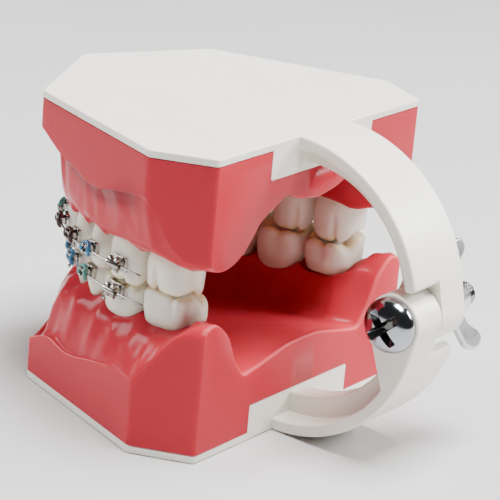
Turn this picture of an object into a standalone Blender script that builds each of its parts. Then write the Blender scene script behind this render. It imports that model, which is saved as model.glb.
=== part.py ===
"""Typodont: two jaws of teeth with braces, on white plates that a screw and a wing nut hinge together.

Lengths are millimetres until make_object turns them to metres. +Z is up, the incisors face -Y, the
hinge is at +Y, and +X is the model's left. The origin is the middle of the lower plate's underside.
"""

import math

import bmesh
import bpy
import numpy as np
from mathutils import Matrix, Vector
from mathutils.geometry import convex_hull_2d

MM = 0.001
GAP = 0.3  # clearance between pieces that touch on the real object

# Plates. Both jaws use the same moulding, the upper one turned half a turn about Y.
HEIGHT = 60.0
MID_Z = HEIGHT / 2
BACK_Y = 30.65
PLATE_THICK = 1.5
BACK_HALF = 31.85
SIDE_HALF = 37.5
SIDE_Y = BACK_Y - 11.8
FRONT_HALF = 25.6
FRONT_SIDE_Y = BACK_Y - 48.7
FRONT_Y = BACK_Y - 61.3
TAB_HALF = 15.7
TAB_TOP = 7.3
TAB_DEPTH = 3.0

# Hinge arms: a T section swept along a quarter ring, ending in a knuckle.
ARM_RADIUS = 30.0
FLANGE_HALF = 7.9
FLANGE_THICK = 2.5
RIB_HALF = 2.7
RIB_RADIUS = 23.5
ARM_END_Z = 22.8
ARM_STEPS = 18
HINGE_Y = BACK_Y + 25.0
KNUCKLE_RADIUS = 5.7
KNUCKLE_END = 8.0
KNUCKLE_RUN = (-30, -5)  # degrees round the arm's ring over which the knuckle grows out of it
BORE_RADIUS = 2.7

# Screw and wing nut, both on the hinge axis along X.
SHANK_RADIUS = 2.4
HEAD_RADIUS = 5.0
HEAD_HIGH = 3.6
THREAD_END = -17.2
NUT_START = -KNUCKLE_END - GAP
NUT_END = -14.6
NUT_RADIUS = 4.7
WING_TILT = math.radians(20.0)
ROUND_SIDES = 24

# Dental arches, as superellipses round (0, ARCH_Y) that run straight back behind it.
ARCH_Y = BACK_Y - 9.5
ARCH_POWER = 2.2
SPACING = 1.015
BITE_Z = 29.7
CUSP_SWING = 0.7
CUSP_PITCH = 6.0
CUSP_START = 1.6
BITE_GAP = 0.3
ROOT_LONG = 7.0
TOOTH_SIDES = 12

# Wires and brackets.
WIRE_OUT = 1.5
WIRE_RADIUS = 0.21
WIRE_SIDES = 6
WIRE_END_Y = BACK_Y - 15.6
BRACKET_WIDE = 3.0
TUBE_LONG = 3.6

# Each jaw: its labial arch (half width, depth), the way from gum to cusp, its wire height, and for each
# tooth of one side (name, mesiodistal width, buccolingual width, gum line z, cusp z, form).
JAWS = {
    "upper": {
        "arch": (31.0, 44.5),
        "toward_bite": -1,
        "wire_z": 33.2,
        "teeth": (
            ("central_incisor", 8.6, 7.0, 37.5, 28.8, "incisor"),
            ("lateral_incisor", 6.8, 6.0, 37.0, 28.9, "incisor"),
            ("canine", 7.8, 7.6, 38.0, 28.7, "canine"),
            ("first_premolar", 7.1, 9.0, 37.2, 29.0, "upper_molar"),
            ("second_premolar", 6.5, 9.0, 36.8, 29.0, "upper_molar"),
            ("first_molar", 9.9, 10.6, 36.5, 29.0, "upper_molar"),
            ("second_molar", 10.0, 10.4, 36.3, 29.0, "upper_molar"),
        ),
    },
    "lower": {
        "arch": (29.9, 41.5),
        "toward_bite": 1,
        "wire_z": 27.0,
        "teeth": (
            ("central_incisor", 5.2, 5.6, 22.0, 29.6, "incisor"),
            ("lateral_incisor", 5.7, 5.8, 21.8, 29.6, "incisor"),
            ("canine", 6.7, 7.2, 21.0, 29.8, "canine"),
            ("first_premolar", 6.9, 7.8, 21.8, 30.4, "lower_molar"),
            ("second_premolar", 6.9, 8.2, 22.3, 30.4, "lower_molar"),
            ("first_molar", 11.2, 10.2, 23.0, 30.4, "lower_molar"),
            ("second_molar", 11.3, 10.0, 24.0, 30.4, "lower_molar"),
        ),
    },
}

# Tooth rings by form: (height as a share of the crown, mesiodistal share, buccolingual share, labial inset).
TOOTH_RINGS = {
    "incisor": ((-0.1, 0.70, 0.86, 0.50), (0.5, 0.97, 0.62, 0.0), (0.8, 1.0, 0.36, 0.25), (1.0, 0.94, 0.17, 0.6)),
    "canine": ((-0.1, 0.74, 0.88, 0.50), (0.5, 1.0, 0.66, 0.0), (0.75, 0.94, 0.40, 0.35), (1.0, 0.34, 0.15, 1.0)),
    "upper_molar": (
        (-0.1, 0.80, 0.86, 0.60),
        (0.5, 1.0, 1.0, 0.0),
        (0.75, 0.98, 0.90, 0.35),
        (1.0, 0.80, 0.60, 1.4),
        (1.0, 0.50, 0.06, 4.3),
    ),
    "lower_molar": (
        (-0.1, 0.80, 0.86, 0.60),
        (0.5, 1.0, 1.0, 0.0),
        (0.70, 0.98, 0.88, 0.5),
        (1.0, 0.80, 0.60, 3.0),
        (1.0, 0.50, 0.06, 6.1),
    ),
}
ROOT_SHARE = (0.42, 0.50)

# Gum sections, from the back face (share 0) round to the midline in front (share 1). Each row is the share
# of the way round, then heights above the jaw's own plate face: wall top, lingual foot and floor.
GUM_SECTIONS = {
    "lower": (
        (0.00, 25.6, 14.6, 15.6),
        (0.05, 25.0, 14.4, 15.6),
        (0.09, 22.6, 14.2, 15.6),
        (0.16, 15.6, 14.0, 15.4),
        (0.26, 14.6, 13.8, 15.0),
        (0.34, 13.2, 13.6, 14.8),
        (0.48, 10.8, 13.4, 14.4),
        (0.56, 11.4, 13.4, 14.2),
        (0.65, 8.6, 13.6, 14.0),
        (1.00, 8.6, 14.0, 14.2),
    ),
    "upper": (
        (0.00, 20.6, 13.0, 12.0),
        (0.06, 20.0, 12.8, 12.0),
        (0.10, 17.0, 12.6, 12.0),
        (0.16, 9.8, 12.4, 11.8),
        (0.22, 9.9, 12.2, 11.6),
        (0.36, 12.7, 12.0, 11.6),
        (0.42, 12.8, 12.0, 11.6),
        (0.48, 11.6, 12.2, 11.8),
        (0.54, 10.7, 12.6, 12.0),
        (0.65, 7.2, 13.6, 12.8),
        (1.00, 7.2, 16.4, 14.6),
    ),
}
BACK_CREST = {"lower": 26.4, "upper": 22.2}
BACK_CREST_DEEP = {"lower": 4.2, "upper": 6.0}
HUB_HEIGHT = {"lower": 17.4, "upper": 13.9}
LINGUAL_DROP = {"lower": 1.4, "upper": 0.0}  # how much lower the tongue side's margin lies
LIP = 0.5  # how far the gum stands out from the teeth at its margin
COLOURS = {
    "plate_white": ((0.80, 0.79, 0.75), 0.35, 0.0),
    "gum_pink": ((0.72, 0.13, 0.15), 0.22, 0.0),
    "tooth_ivory": ((0.84, 0.78, 0.66), 0.25, 0.0),
    "bracket_steel": ((0.60, 0.60, 0.58), 0.28, 1.0),
    "wire_steel": ((0.55, 0.55, 0.56), 0.25, 1.0),
    "screw_chrome": ((0.66, 0.66, 0.68), 0.16, 1.0),
    "nut_zinc": ((0.68, 0.69, 0.71), 0.30, 1.0),
}


def clear_scene():
    for old in list(bpy.data.objects):
        bpy.data.objects.remove(old, do_unlink=True)


def material(name):
    """The Principled material of this name, made once."""
    found = bpy.data.materials.get(name)
    if found:
        return found
    colour, roughness, metallic = COLOURS[name]
    made = bpy.data.materials.new(name)
    made.use_nodes = True
    shader = made.node_tree.nodes["Principled BSDF"]
    shader.inputs["Base Color"].default_value = (*colour, 1.0)
    shader.inputs["Roughness"].default_value = roughness
    shader.inputs["Metallic"].default_value = metallic
    return made


def make_object(name, points, faces, material_name=None, parent=None, place=None):
    """A mesh object from points in millimetres, outward normals made sure of. It stands at place, in
    millimetres, and its mesh is stored relative to that point, so the object turns about it."""
    centre = np.array(place if place is not None else (0.0, 0.0, 0.0))
    mesh = bpy.data.meshes.new(name)
    stored = (np.asarray(points, float) - centre) * MM
    mesh.from_pydata([tuple(p) for p in stored], [], [tuple(f) for f in faces])
    shape = bmesh.new()
    shape.from_mesh(mesh)
    bmesh.ops.remove_doubles(shape, verts=shape.verts, dist=1e-7)
    bmesh.ops.recalc_face_normals(shape, faces=shape.faces)
    shape.to_mesh(mesh)
    shape.free()
    mesh.shade_smooth()
    mesh.set_sharp_from_angle(angle=math.radians(35))
    made = bpy.data.objects.new(name, mesh)
    bpy.context.scene.collection.objects.link(made)
    made.location = Vector(centre) * MM
    if parent is not None:
        made.parent = parent
        made.matrix_parent_inverse = Matrix.Translation(-parent.location)
    if material_name:
        mesh.materials.append(material(material_name))
    return made


def make_helper(name, points, faces, collection=None):
    """A cutter or a piece to be joined: it is drawn as wire and never rendered."""
    helper = make_object(name, points, faces)
    helper.hide_render = True
    helper.display_type = "WIRE"
    if collection is not None:
        bpy.context.scene.collection.objects.unlink(helper)
        collection.objects.link(helper)
    return helper


def apply_boolean(target, operation, helper):
    modifier = target.modifiers.new(f"{operation.lower()}_{helper.name}", "BOOLEAN")
    modifier.operation = operation
    modifier.object = helper
    modifier.solver = "EXACT"


def box(low, high):
    """Corners and faces of an axis-aligned block."""
    corners = [(x, y, z) for x in (low[0], high[0]) for y in (low[1], high[1]) for z in (low[2], high[2])]
    faces = [(0, 1, 3, 2), (4, 6, 7, 5), (0, 4, 5, 1), (2, 3, 7, 6), (0, 2, 6, 4), (1, 5, 7, 3)]
    return corners, faces


def prism(outline, start, end):
    """An outline of (u, v) pairs, run from start to end. Each is a function that places a (u, v) pair."""
    count = len(outline)
    points = [start(u, v) for u, v in outline] + [end(u, v) for u, v in outline]
    faces = [tuple(range(count)), tuple(range(count, 2 * count))]
    for i in range(count):
        j = (i + 1) % count
        faces.append((i, j, count + j, count + i))
    return points, faces


def loft(rings, loop=False):
    """Faces between rings of equal size, closed with caps, or into a ring of rings when loop is set."""
    count = len(rings[0])
    points = [tuple(p) for ring in rings for p in ring]
    faces = []
    for k in range(len(rings) if loop else len(rings) - 1):
        first, second = k * count, (k + 1) % len(rings) * count
        for i in range(count):
            j = (i + 1) % count
            faces.append((first + i, first + j, second + j, second + i))
    if not loop:
        faces.append(tuple(range(count)))
        faces.append(tuple(range(len(points) - count, len(points))))
    return points, faces


def turned(profile, sides=ROUND_SIDES):
    """Rings of a profile of (x, radius) pairs turned about the hinge axis."""
    rings = []
    for x, radius in profile:
        ring = []
        for k in range(sides):
            angle = 2 * math.pi * k / sides
            ring.append((x, HINGE_Y + radius * math.cos(angle), MID_Z + radius * math.sin(angle)))
        rings.append(ring)
    return rings


# Arches


def arch_path(half_width, depth):
    """Points along half an arch, from the midline in front to the back face, on the +X side."""
    angles = np.linspace(math.pi / 2, 0, 240)
    x = half_width * np.cos(angles).clip(0) ** (2 / ARCH_POWER)
    y = ARCH_Y - depth * np.sin(angles).clip(0) ** (2 / ARCH_POWER)
    leg = np.linspace(ARCH_Y, BACK_Y, 20)[1:]
    return np.column_stack([np.append(x, np.full(len(leg), half_width)), np.append(y, leg)])


def lengths_along(path):
    return np.append(0.0, np.linalg.norm(np.diff(path, axis=0), axis=1).cumsum())


def point_along(path, length):
    """The point this far along a path, with its unit tangent toward the back and its outward normal."""
    lengths = lengths_along(path)
    point = np.array([np.interp(length, lengths, path[:, i]) for i in (0, 1)])
    ahead = np.array([np.interp(length + 0.5, lengths, path[:, i]) for i in (0, 1)])
    behind = np.array([np.interp(length - 0.5, lengths, path[:, i]) for i in (0, 1)])
    if length < 0.5:
        behind = ahead * (-1, 1)
    tangent = (ahead - behind) / np.linalg.norm(ahead - behind)
    return point, tangent, np.array([tangent[1], -tangent[0]])


def meets(path, point, normal):
    """How far a line from point along normal goes to a path."""
    for start, end in zip(path[:-1], path[1:]):
        span = end - start
        cross = normal[0] * span[1] - normal[1] * span[0]
        if abs(cross) < 1e-12:
            continue
        away = start - point
        reach = (away[0] * span[1] - away[1] * span[0]) / cross
        share = (away[0] * normal[1] - away[1] * normal[0]) / cross
        if reach > 0 and -1e-9 <= share <= 1 + 1e-9:
            return reach
    return 0.0


def tooth_frames(jaw):
    """For each tooth of one side: its row, labial point, unit tangent and outward normal."""
    half_width, depth = JAWS[jaw]["arch"]
    labial = arch_path(half_width, depth)
    contact = arch_path(half_width - 4.2, depth - 3.0)
    frames = []
    travelled = 0.0
    for row in JAWS[jaw]["teeth"]:
        width = row[1] * SPACING
        centre, tangent, normal = point_along(contact, travelled + width / 2)
        travelled += width
        frames.append((row, centre + normal * meets(labial, centre, normal), tangent, normal))
    return frames


UPPER_LABIAL = arch_path(*JAWS["upper"]["arch"])


def bite_height(x, y):
    """The wave that the cusps of both jaws follow, from the distance inside the upper labial arch."""
    inside = np.linalg.norm(UPPER_LABIAL - (abs(x), y), axis=1).min()
    return BITE_Z - CUSP_SWING * math.cos(2 * math.pi * (inside - CUSP_START) / CUSP_PITCH)


# Teeth


def tooth_rings(jaw, row, labial, tangent, normal, grow=0.0):
    """The rings of a tooth from its root to its biting edge. grow makes a socket cutter of it."""
    _, wide, deep, gum_z, cusp_z, form = row
    toward = JAWS[jaw]["toward_bite"]
    wide_half = (wide * SPACING - GAP) / 2
    shares = ((-ROOT_LONG / abs(cusp_z - gum_z), *ROOT_SHARE, deep * (1 - ROOT_SHARE[1]) / 2),)
    rings = []
    for height, wide_share, deep_share, inset in shares + TOOTH_RINGS[form]:
        middle = labial - normal * (inset + deep * deep_share / 2)
        ring = []
        for k in range(TOOTH_SIDES):
            angle = 2 * math.pi * (k + 0.5) / TOOTH_SIDES
            across = np.sign(math.cos(angle)) * abs(math.cos(angle)) ** 0.8
            outward = np.sign(math.sin(angle)) * abs(math.sin(angle)) ** 0.8
            point = middle + tangent * across * (wide_half * wide_share + grow)
            point = point + normal * outward * (deep * deep_share / 2 + grow)
            z = gum_z + toward * abs(cusp_z - gum_z) * height
            if form.endswith("molar") and height == 1.0:
                z = bite_height(*point) - toward * BITE_GAP
            if height < -0.5:
                z -= toward * grow
            ring.append((point[0], point[1], z))
        rings.append(ring)
    return rings


def mirrored(rings, side):
    return [[(side * x, y, z) for x, y, z in ring] for ring in rings]


def make_teeth(jaw, parent, sockets):
    """Both sides' teeth as objects, and their socket cutters in the sockets collection."""
    for row, labial, tangent, normal in tooth_frames(jaw):
        for side, side_name in ((1, "left"), (-1, "right")):
            name = f"{jaw}_{side_name}_{row[0]}"
            rings = mirrored(tooth_rings(jaw, row, labial, tangent, normal), side)
            centre = np.mean(rings[1], axis=0)
            make_object(name, *loft(rings), "tooth_ivory", parent, centre)
            cutter = mirrored(tooth_rings(jaw, row, labial, tangent, normal, GAP), side)
            make_helper(f"socket_{name}", *loft(cutter), sockets)


# Gums


def outline_half():
    """The plate's corners on the +X side, from the back to the midline in front."""
    return [(BACK_HALF, BACK_Y), (SIDE_HALF, SIDE_Y), (FRONT_HALF, FRONT_SIDE_Y), (0.0, FRONT_Y)]


def wall_stations():
    """(share of the way round, wall point) along one side, with every corner hit exactly."""
    corners = np.array(outline_half())
    lengths = lengths_along(corners)
    stations = []
    for k, steps in enumerate((4, 11, 8)):
        for i in range(steps):
            share = (lengths[k] + (lengths[k + 1] - lengths[k]) * i / steps) / lengths[-1]
            stations.append((share, corners[k] + (corners[k + 1] - corners[k]) * i / steps))
    stations.append((1.0, corners[-1]))
    return stations


def gum_section(jaw, share, wall):
    """One section of a gum from its wall to near the hub, as (x, y, height above the plate face)."""
    table = np.array(GUM_SECTIONS[jaw])
    wall_top, foot, floor = (np.interp(share, table[:, 0], table[:, i]) for i in (1, 2, 3))
    labial = arch_path(*JAWS[jaw]["arch"])
    place, _, normal = point_along(labial, lengths_along(labial)[-1] * (1 - share))
    normal = normal if share > 0 else np.array([1.0, 0.0])
    plate_face = 0.0 if jaw == "lower" else HEIGHT
    crown = np.array([abs(row[3] - plate_face) for row in JAWS[jaw]["teeth"]])
    crest = np.interp(1 - share, np.linspace(0.04, 0.86, len(crown)), crown)
    crest = np.interp(share, (0.0, 0.12), (BACK_CREST[jaw], crest))
    deep = np.interp(share, (0.0, 0.15, 0.6, 1.0), (BACK_CREST_DEEP[jaw], 10.6, 8.6, 6.6))
    spread = np.interp(share, (0.0, 0.15), (1.9, 1.0))
    lip = place + normal * LIP
    swell = place + (wall - place) * np.interp(share, (0.0, 0.16, 0.26, 0.36, 1.0), (0.9, 0.75, 0.5, 0.34, 0.3))
    rise = max(crest - wall_top, 0.4)
    section = [(*wall, PLATE_THICK + GAP), (*wall, wall_top)]
    section.append((*(0.5 * wall + 0.5 * swell), wall_top + 0.08 * rise))
    section.append((*swell, wall_top + 0.25 * rise))
    section.append((*(0.5 * swell + 0.5 * lip), wall_top + 0.7 * rise))
    section.append((*(place - normal * 0.4), crest + 0.4))
    section.append((*(place - normal * (deep - 0.4)), crest - LINGUAL_DROP[jaw]))
    section.append((*(place - normal * (deep + 0.7 * spread)), crest - LINGUAL_DROP[jaw] - 1.8))
    section.append((*(place - normal * (deep + 1.9 * spread)), (crest + foot) / 2))
    inner = place - normal * (deep + 3.6 * spread)
    section.append((*inner, foot))
    hub = np.array([0.0, BACK_Y])
    section.append((*(inner + (hub - inner) * 0.45), floor))
    return section


def make_gum(jaw, parent, sockets):
    """One jaw's gum block: lofted sections round the arch, closed by a flat back and a flat base."""
    half = [gum_section(jaw, share, wall) for share, wall in wall_stations()]
    sections = half + [[(-x, y, h) for x, y, h in section] for section in reversed(half[:-1])]
    count = len(sections[0])
    points = [point for section in sections for point in section] + [(0.0, BACK_Y, HUB_HEIGHT[jaw])]
    hub = len(points) - 1
    faces = []
    for s in range(len(sections) - 1):
        for i in range(count - 1):
            faces.append((s * count + i, s * count + i + 1, (s + 1) * count + i + 1, (s + 1) * count + i))
        faces.append((s * count + count - 1, hub, (s + 1) * count + count - 1))
    last = (len(sections) - 1) * count
    faces.append(tuple(range(count)) + (hub,) + tuple(range(last + count - 1, last - 1, -1)))
    faces.append(tuple(s * count for s in range(len(sections))))
    if jaw == "upper":
        points = [(x, y, HEIGHT - h) for x, y, h in points]
    gum = make_object(f"{jaw}_gum", points, faces, "gum_pink", parent)
    low = (-TAB_HALF - GAP, BACK_Y - TAB_DEPTH - GAP, -1.0)
    high = (TAB_HALF + GAP, BACK_Y + 1.0, TAB_TOP + GAP)
    if jaw == "upper":
        low, high = (low[0], low[1], HEIGHT - high[2]), (high[0], high[1], HEIGHT - low[2])
    make_helper(f"tab_pocket_{jaw}", *box(low, high), sockets)
    modifier = gum.modifiers.new("sockets", "BOOLEAN")
    modifier.operation = "DIFFERENCE"
    modifier.operand_type = "COLLECTION"
    modifier.collection = sockets
    modifier.solver = "EXACT"


# Plates with their hinge arms


def arm_rings():
    """The T section swept round the quarter ring, from inside the tab to the hinge."""
    inner = ARM_RADIUS - FLANGE_THICK
    tee = [(-FLANGE_HALF, ARM_RADIUS), (FLANGE_HALF, ARM_RADIUS), (FLANGE_HALF, inner), (RIB_HALF, inner)]
    tee += [(RIB_HALF, RIB_RADIUS), (-RIB_HALF, RIB_RADIUS), (-RIB_HALF, inner), (-FLANGE_HALF, inner)]
    rings = [[(x, BACK_Y - TAB_DEPTH / 2, MID_Z - radius) for x, radius in tee]]
    for k in range(ARM_STEPS + 1):
        angle = -math.pi / 2 * (1 - k / ARM_STEPS)
        place = [(x, BACK_Y + r * math.cos(angle), MID_Z + r * math.sin(angle)) for x, r in tee]
        rings.append(place)
    return rings


def knuckle_outline():
    """A knuckle seen from its end, as (y, z): its round end, run smoothly into the arm's flange."""
    points = []
    for k in range(ROUND_SIDES):
        angle = 2 * math.pi * k / ROUND_SIDES
        points.append((HINGE_Y + KNUCKLE_RADIUS * math.cos(angle), MID_Z + KNUCKLE_RADIUS * math.sin(angle)))
    for degrees in range(*KNUCKLE_RUN, 5):
        angle = math.radians(degrees)
        for radius in (ARM_RADIUS - 0.05, ARM_RADIUS - FLANGE_THICK + 0.05):
            points.append((BACK_Y + radius * math.cos(angle), MID_Z + radius * math.sin(angle)))
    return [points[i] for i in convex_hull_2d([Vector(point) for point in points])]


def turned_over(points):
    """Points turned half a turn about the Y axis through the hinge's height."""
    return [(-x, y, HEIGHT - z) for x, y, z in points]


def make_plate(jaw, parent):
    """One plate moulding: base plate, back tab, arm and knuckle, bored for the screw."""
    place = turned_over if jaw == "upper" else list
    corners = outline_half() + [(-x, y) for x, y in reversed(outline_half()[:-1])]
    points, faces = prism(corners, lambda x, y: (x, y, 0.0), lambda x, y: (x, y, PLATE_THICK))
    plate = make_object(f"{jaw}_plate", place(points), faces, "plate_white", parent)
    points, faces = box((-TAB_HALF, BACK_Y - TAB_DEPTH, 0.0), (TAB_HALF, BACK_Y, TAB_TOP))
    tab = make_helper(f"{jaw}_tab", place(points), faces)
    points, faces = loft(arm_rings())
    arm = make_helper(f"{jaw}_arm", place(points), faces)
    points, faces = box((-FLANGE_HALF - 1, BACK_Y, ARM_END_Z), (GAP / 2, HINGE_Y + 9, MID_Z + 9))
    apply_boolean(arm, "DIFFERENCE", make_helper(f"{jaw}_arm_notch", place(points), faces))
    sides = (lambda y, z: (GAP / 2, y, z)), (lambda y, z: (KNUCKLE_END, y, z))
    points, faces = prism(knuckle_outline(), *sides)
    knuckle = make_helper(f"{jaw}_knuckle", place(points), faces)
    points, faces = loft(turned(((-1.0, BORE_RADIUS), (KNUCKLE_END + 1, BORE_RADIUS))))
    bore = make_helper(f"{jaw}_bore", place(points), faces)
    for operation, helper in (("UNION", tab), ("UNION", arm), ("UNION", knuckle), ("DIFFERENCE", bore)):
        apply_boolean(plate, operation, helper)


# Screw and wing nut


def make_screw(parent):
    """A pan head machine screw with a cross recess, its head against the lower knuckle."""
    seat = KNUCKLE_END + GAP
    profile = [(THREAD_END, SHANK_RADIUS - 0.5), (THREAD_END + 0.6, SHANK_RADIUS), (seat, SHANK_RADIUS)]
    profile += [(seat, HEAD_RADIUS), (seat + 1.3, HEAD_RADIUS - 0.15), (seat + 2.5, HEAD_RADIUS - 1.1)]
    profile += [(seat + 3.2, HEAD_RADIUS - 2.5), (seat + HEAD_HIGH, 0.6)]
    points, faces = loft(turned(profile))
    screw = make_object("hinge_screw", points, faces, "screw_chrome", parent, parent_point())
    for name, half_y, half_z in (("a", 2.6, 0.5), ("b", 0.5, 2.6)):
        low = (seat + 1.4, HINGE_Y - half_y, MID_Z - half_z)
        high = (seat + HEAD_HIGH + 1, HINGE_Y + half_y, MID_Z + half_z)
        apply_boolean(screw, "DIFFERENCE", make_helper(f"recess_{name}", *box(low, high)))


def parent_point():
    return (0.0, HINGE_Y, MID_Z)


def wing_outline():
    """One wing in its own plane, as (reach from the axis, x): splayed outward with a round tip."""
    tip_reach, tip_x, tip_radius = 8.8, -15.8, 2.7
    points = [(2.9, NUT_START - 1.0), (4.6, NUT_START - 1.6)]
    for k in range(8):
        angle = math.radians(20 - 230 * k / 7)
        points.append((tip_reach + tip_radius * math.cos(angle), tip_x + tip_radius * math.sin(angle)))
    points.append((2.9, NUT_END + 0.8))
    return points


def make_wing_nut(parent):
    """A wing nut: a tapered round body, bored for the screw, with two wings."""
    body = turned(((NUT_START, NUT_RADIUS), (NUT_START - 1.2, NUT_RADIUS), (NUT_END, NUT_RADIUS - 1.0)))
    inside = turned(((NUT_END, BORE_RADIUS), (NUT_START, BORE_RADIUS)))
    points, faces = loft(body + inside, loop=True)
    nut = make_object("wing_nut", points, faces, "nut_zinc", parent, parent_point())
    for name, turn in (("a", 0.0), ("b", math.pi)):
        up = np.array([0.0, -math.sin(WING_TILT), math.cos(WING_TILT)]) * math.cos(turn)
        side = np.array([0.0, math.cos(WING_TILT), math.sin(WING_TILT)])

        def placed(offset, up=up, side=side):
            return lambda reach, x: tuple(np.array(parent_point()) + up * reach + side * offset + (x, 0, 0))

        points, faces = prism(wing_outline(), placed(-0.8), placed(0.8))
        apply_boolean(nut, "UNION", make_helper(f"wing_{name}", points, faces))


# Braces


def wire_path(jaw):
    """The archwire's own half arch, cut short behind the molar tube."""
    half_width, depth = JAWS[jaw]["arch"]
    path = arch_path(half_width + WIRE_OUT, depth + WIRE_OUT)
    return path[path[:, 1] <= WIRE_END_Y]


def make_wire(jaw, parent):
    half = wire_path(jaw)
    spaced = np.linspace(0, lengths_along(half)[-1], 22)
    half = np.array([point_along(half, length)[0] for length in spaced])
    half[0, 0] = 0.0
    path = np.vstack([half[::-1], half[1:] * (-1, 1)])
    rings = []
    for k, centre in enumerate(path):
        ahead = path[min(k + 1, len(path) - 1)] - path[max(k - 1, 0)]
        across = np.array([ahead[1], -ahead[0]]) / np.linalg.norm(ahead)
        ring = []
        for i in range(WIRE_SIDES):
            angle = 2 * math.pi * i / WIRE_SIDES
            flat = centre + across * WIRE_RADIUS * math.cos(angle)
            ring.append((*flat, JAWS[jaw]["wire_z"] + WIRE_RADIUS * math.sin(angle)))
        rings.append(ring)
    make_object(f"{jaw}_archwire", *loft(rings), "wire_steel", parent)


def bracket_outline():
    """A bracket seen from its end, as (distance out from the wire, height): pad, tie wings and slot."""
    upper = [(-0.4, 0.36), (0.8, 0.36), (0.8, 1.2), (-0.5, 1.35), (-0.5, 0.95), (-0.8, 0.95)]
    upper += [(-0.8, 1.4), (-1.15, 1.4)]
    return upper + [(out, -high) for out, high in reversed(upper)]


def make_brackets(jaw, parent):
    """A bracket on every tooth as far as the second premolar, and a tube on the first molar."""
    wire = wire_path(jaw)
    for row, labial, tangent, normal in tooth_frames(jaw)[:6]:
        inside = labial - normal * 3.0
        centre = inside + normal * meets(wire, inside, normal)
        half_long = (TUBE_LONG if row[0] == "first_molar" else BRACKET_WIDE) / 2
        for side, side_name in ((1, "left"), (-1, "right")):

            def placed(shift, side=side, centre=centre, tangent=tangent, normal=normal):
                def place(out, high):
                    spot = centre + normal * out + tangent * shift
                    return (side * spot[0], spot[1], JAWS[jaw]["wire_z"] + high)

                return place

            if row[0] == "first_molar":
                make_tube(f"{jaw}_{side_name}_molar_tube", placed, half_long, parent)
                continue
            points, faces = prism(bracket_outline(), placed(-half_long), placed(half_long))
            make_object(f"{jaw}_{side_name}_{row[0]}_bracket", points, faces, "bracket_steel", parent)


def make_tube(name, placed, half_long, parent):
    """A molar tube: a square sleeve round the wire, on a pad."""
    outer = [(-1.15, -1.1), (0.8, -1.1), (0.8, 1.1), (-1.15, 1.1)]
    inner = [(-0.42, -0.42), (0.42, -0.42), (0.42, 0.42), (-0.42, 0.42)]
    rings = [[placed(shift)(*spot) for spot in loop] for shift, loop in (
        (-half_long, outer), (half_long, outer), (half_long, inner), (-half_long, inner))]
    make_object(name, *loft(rings, loop=True), "bracket_steel", parent)


def make_pivot(name, place):
    pivot = bpy.data.objects.new(name, None)
    bpy.context.scene.collection.objects.link(pivot)
    pivot.location = Vector(place) * MM
    return pivot


def main():
    clear_scene()
    pivots = {"lower": make_pivot("lower_jaw_base", (0.0, 0.0, 0.0))}
    pivots["upper"] = make_pivot("upper_jaw_pivot", parent_point())
    for jaw, pivot in pivots.items():
        sockets = bpy.data.collections.new(f"{jaw}_sockets")
        bpy.context.scene.collection.children.link(sockets)
        make_plate(jaw, pivot)
        make_teeth(jaw, pivot, sockets)
        make_gum(jaw, pivot, sockets)
        make_wire(jaw, pivot)
        make_brackets(jaw, pivot)
    screw_pivot = make_pivot("screw_pivot", parent_point())
    make_screw(screw_pivot)
    make_wing_nut(screw_pivot)


main()
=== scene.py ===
"""Looks of the typodont: detailed teeth, gums, plates, braces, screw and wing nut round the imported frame.

Lengths are millimetres until new_object turns them to metres. +Z is up, the incisors face -Y, the hinge is
at +Y and +X is the model's left. The gums' and plates' heights are measured from their own jaw's outer face,
and an upper jaw is mirrored into place at the end.
"""

import math

import bmesh
import bpy
import numpy as np
from mathutils import Matrix, Vector, noise


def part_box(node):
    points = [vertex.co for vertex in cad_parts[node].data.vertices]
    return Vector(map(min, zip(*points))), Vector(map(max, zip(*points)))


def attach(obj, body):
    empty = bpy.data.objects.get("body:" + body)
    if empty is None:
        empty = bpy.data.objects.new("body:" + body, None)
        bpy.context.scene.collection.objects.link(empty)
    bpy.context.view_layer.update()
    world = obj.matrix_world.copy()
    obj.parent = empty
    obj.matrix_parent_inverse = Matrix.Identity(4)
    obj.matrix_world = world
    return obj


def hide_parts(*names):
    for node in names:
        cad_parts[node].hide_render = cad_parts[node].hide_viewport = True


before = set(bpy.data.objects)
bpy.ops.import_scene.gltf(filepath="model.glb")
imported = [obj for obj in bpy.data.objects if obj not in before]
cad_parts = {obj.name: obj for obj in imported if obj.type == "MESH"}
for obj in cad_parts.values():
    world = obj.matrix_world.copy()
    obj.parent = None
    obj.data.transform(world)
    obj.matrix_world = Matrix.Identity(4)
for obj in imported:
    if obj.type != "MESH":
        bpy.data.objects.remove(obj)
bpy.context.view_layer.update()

MM = 0.001


def node_box(name):
    """A CAD node's lowest and highest corners in millimetres."""
    low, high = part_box(name)
    return np.array(low) / MM, np.array(high) / MM


# Dimensions read from the frame
LOWER_GUM_BOX = node_box("lower_gum")
PLATE_BOX = node_box("lower_plate")
SCREW_BOX = node_box("hinge_screw")
NUT_BOX = node_box("wing_nut")
HEIGHT = node_box("upper_plate")[1][2]
MID_Z = HEIGHT / 2
BACK_Y = LOWER_GUM_BOX[1][1]
SIDE_HALF = PLATE_BOX[1][0]

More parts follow.
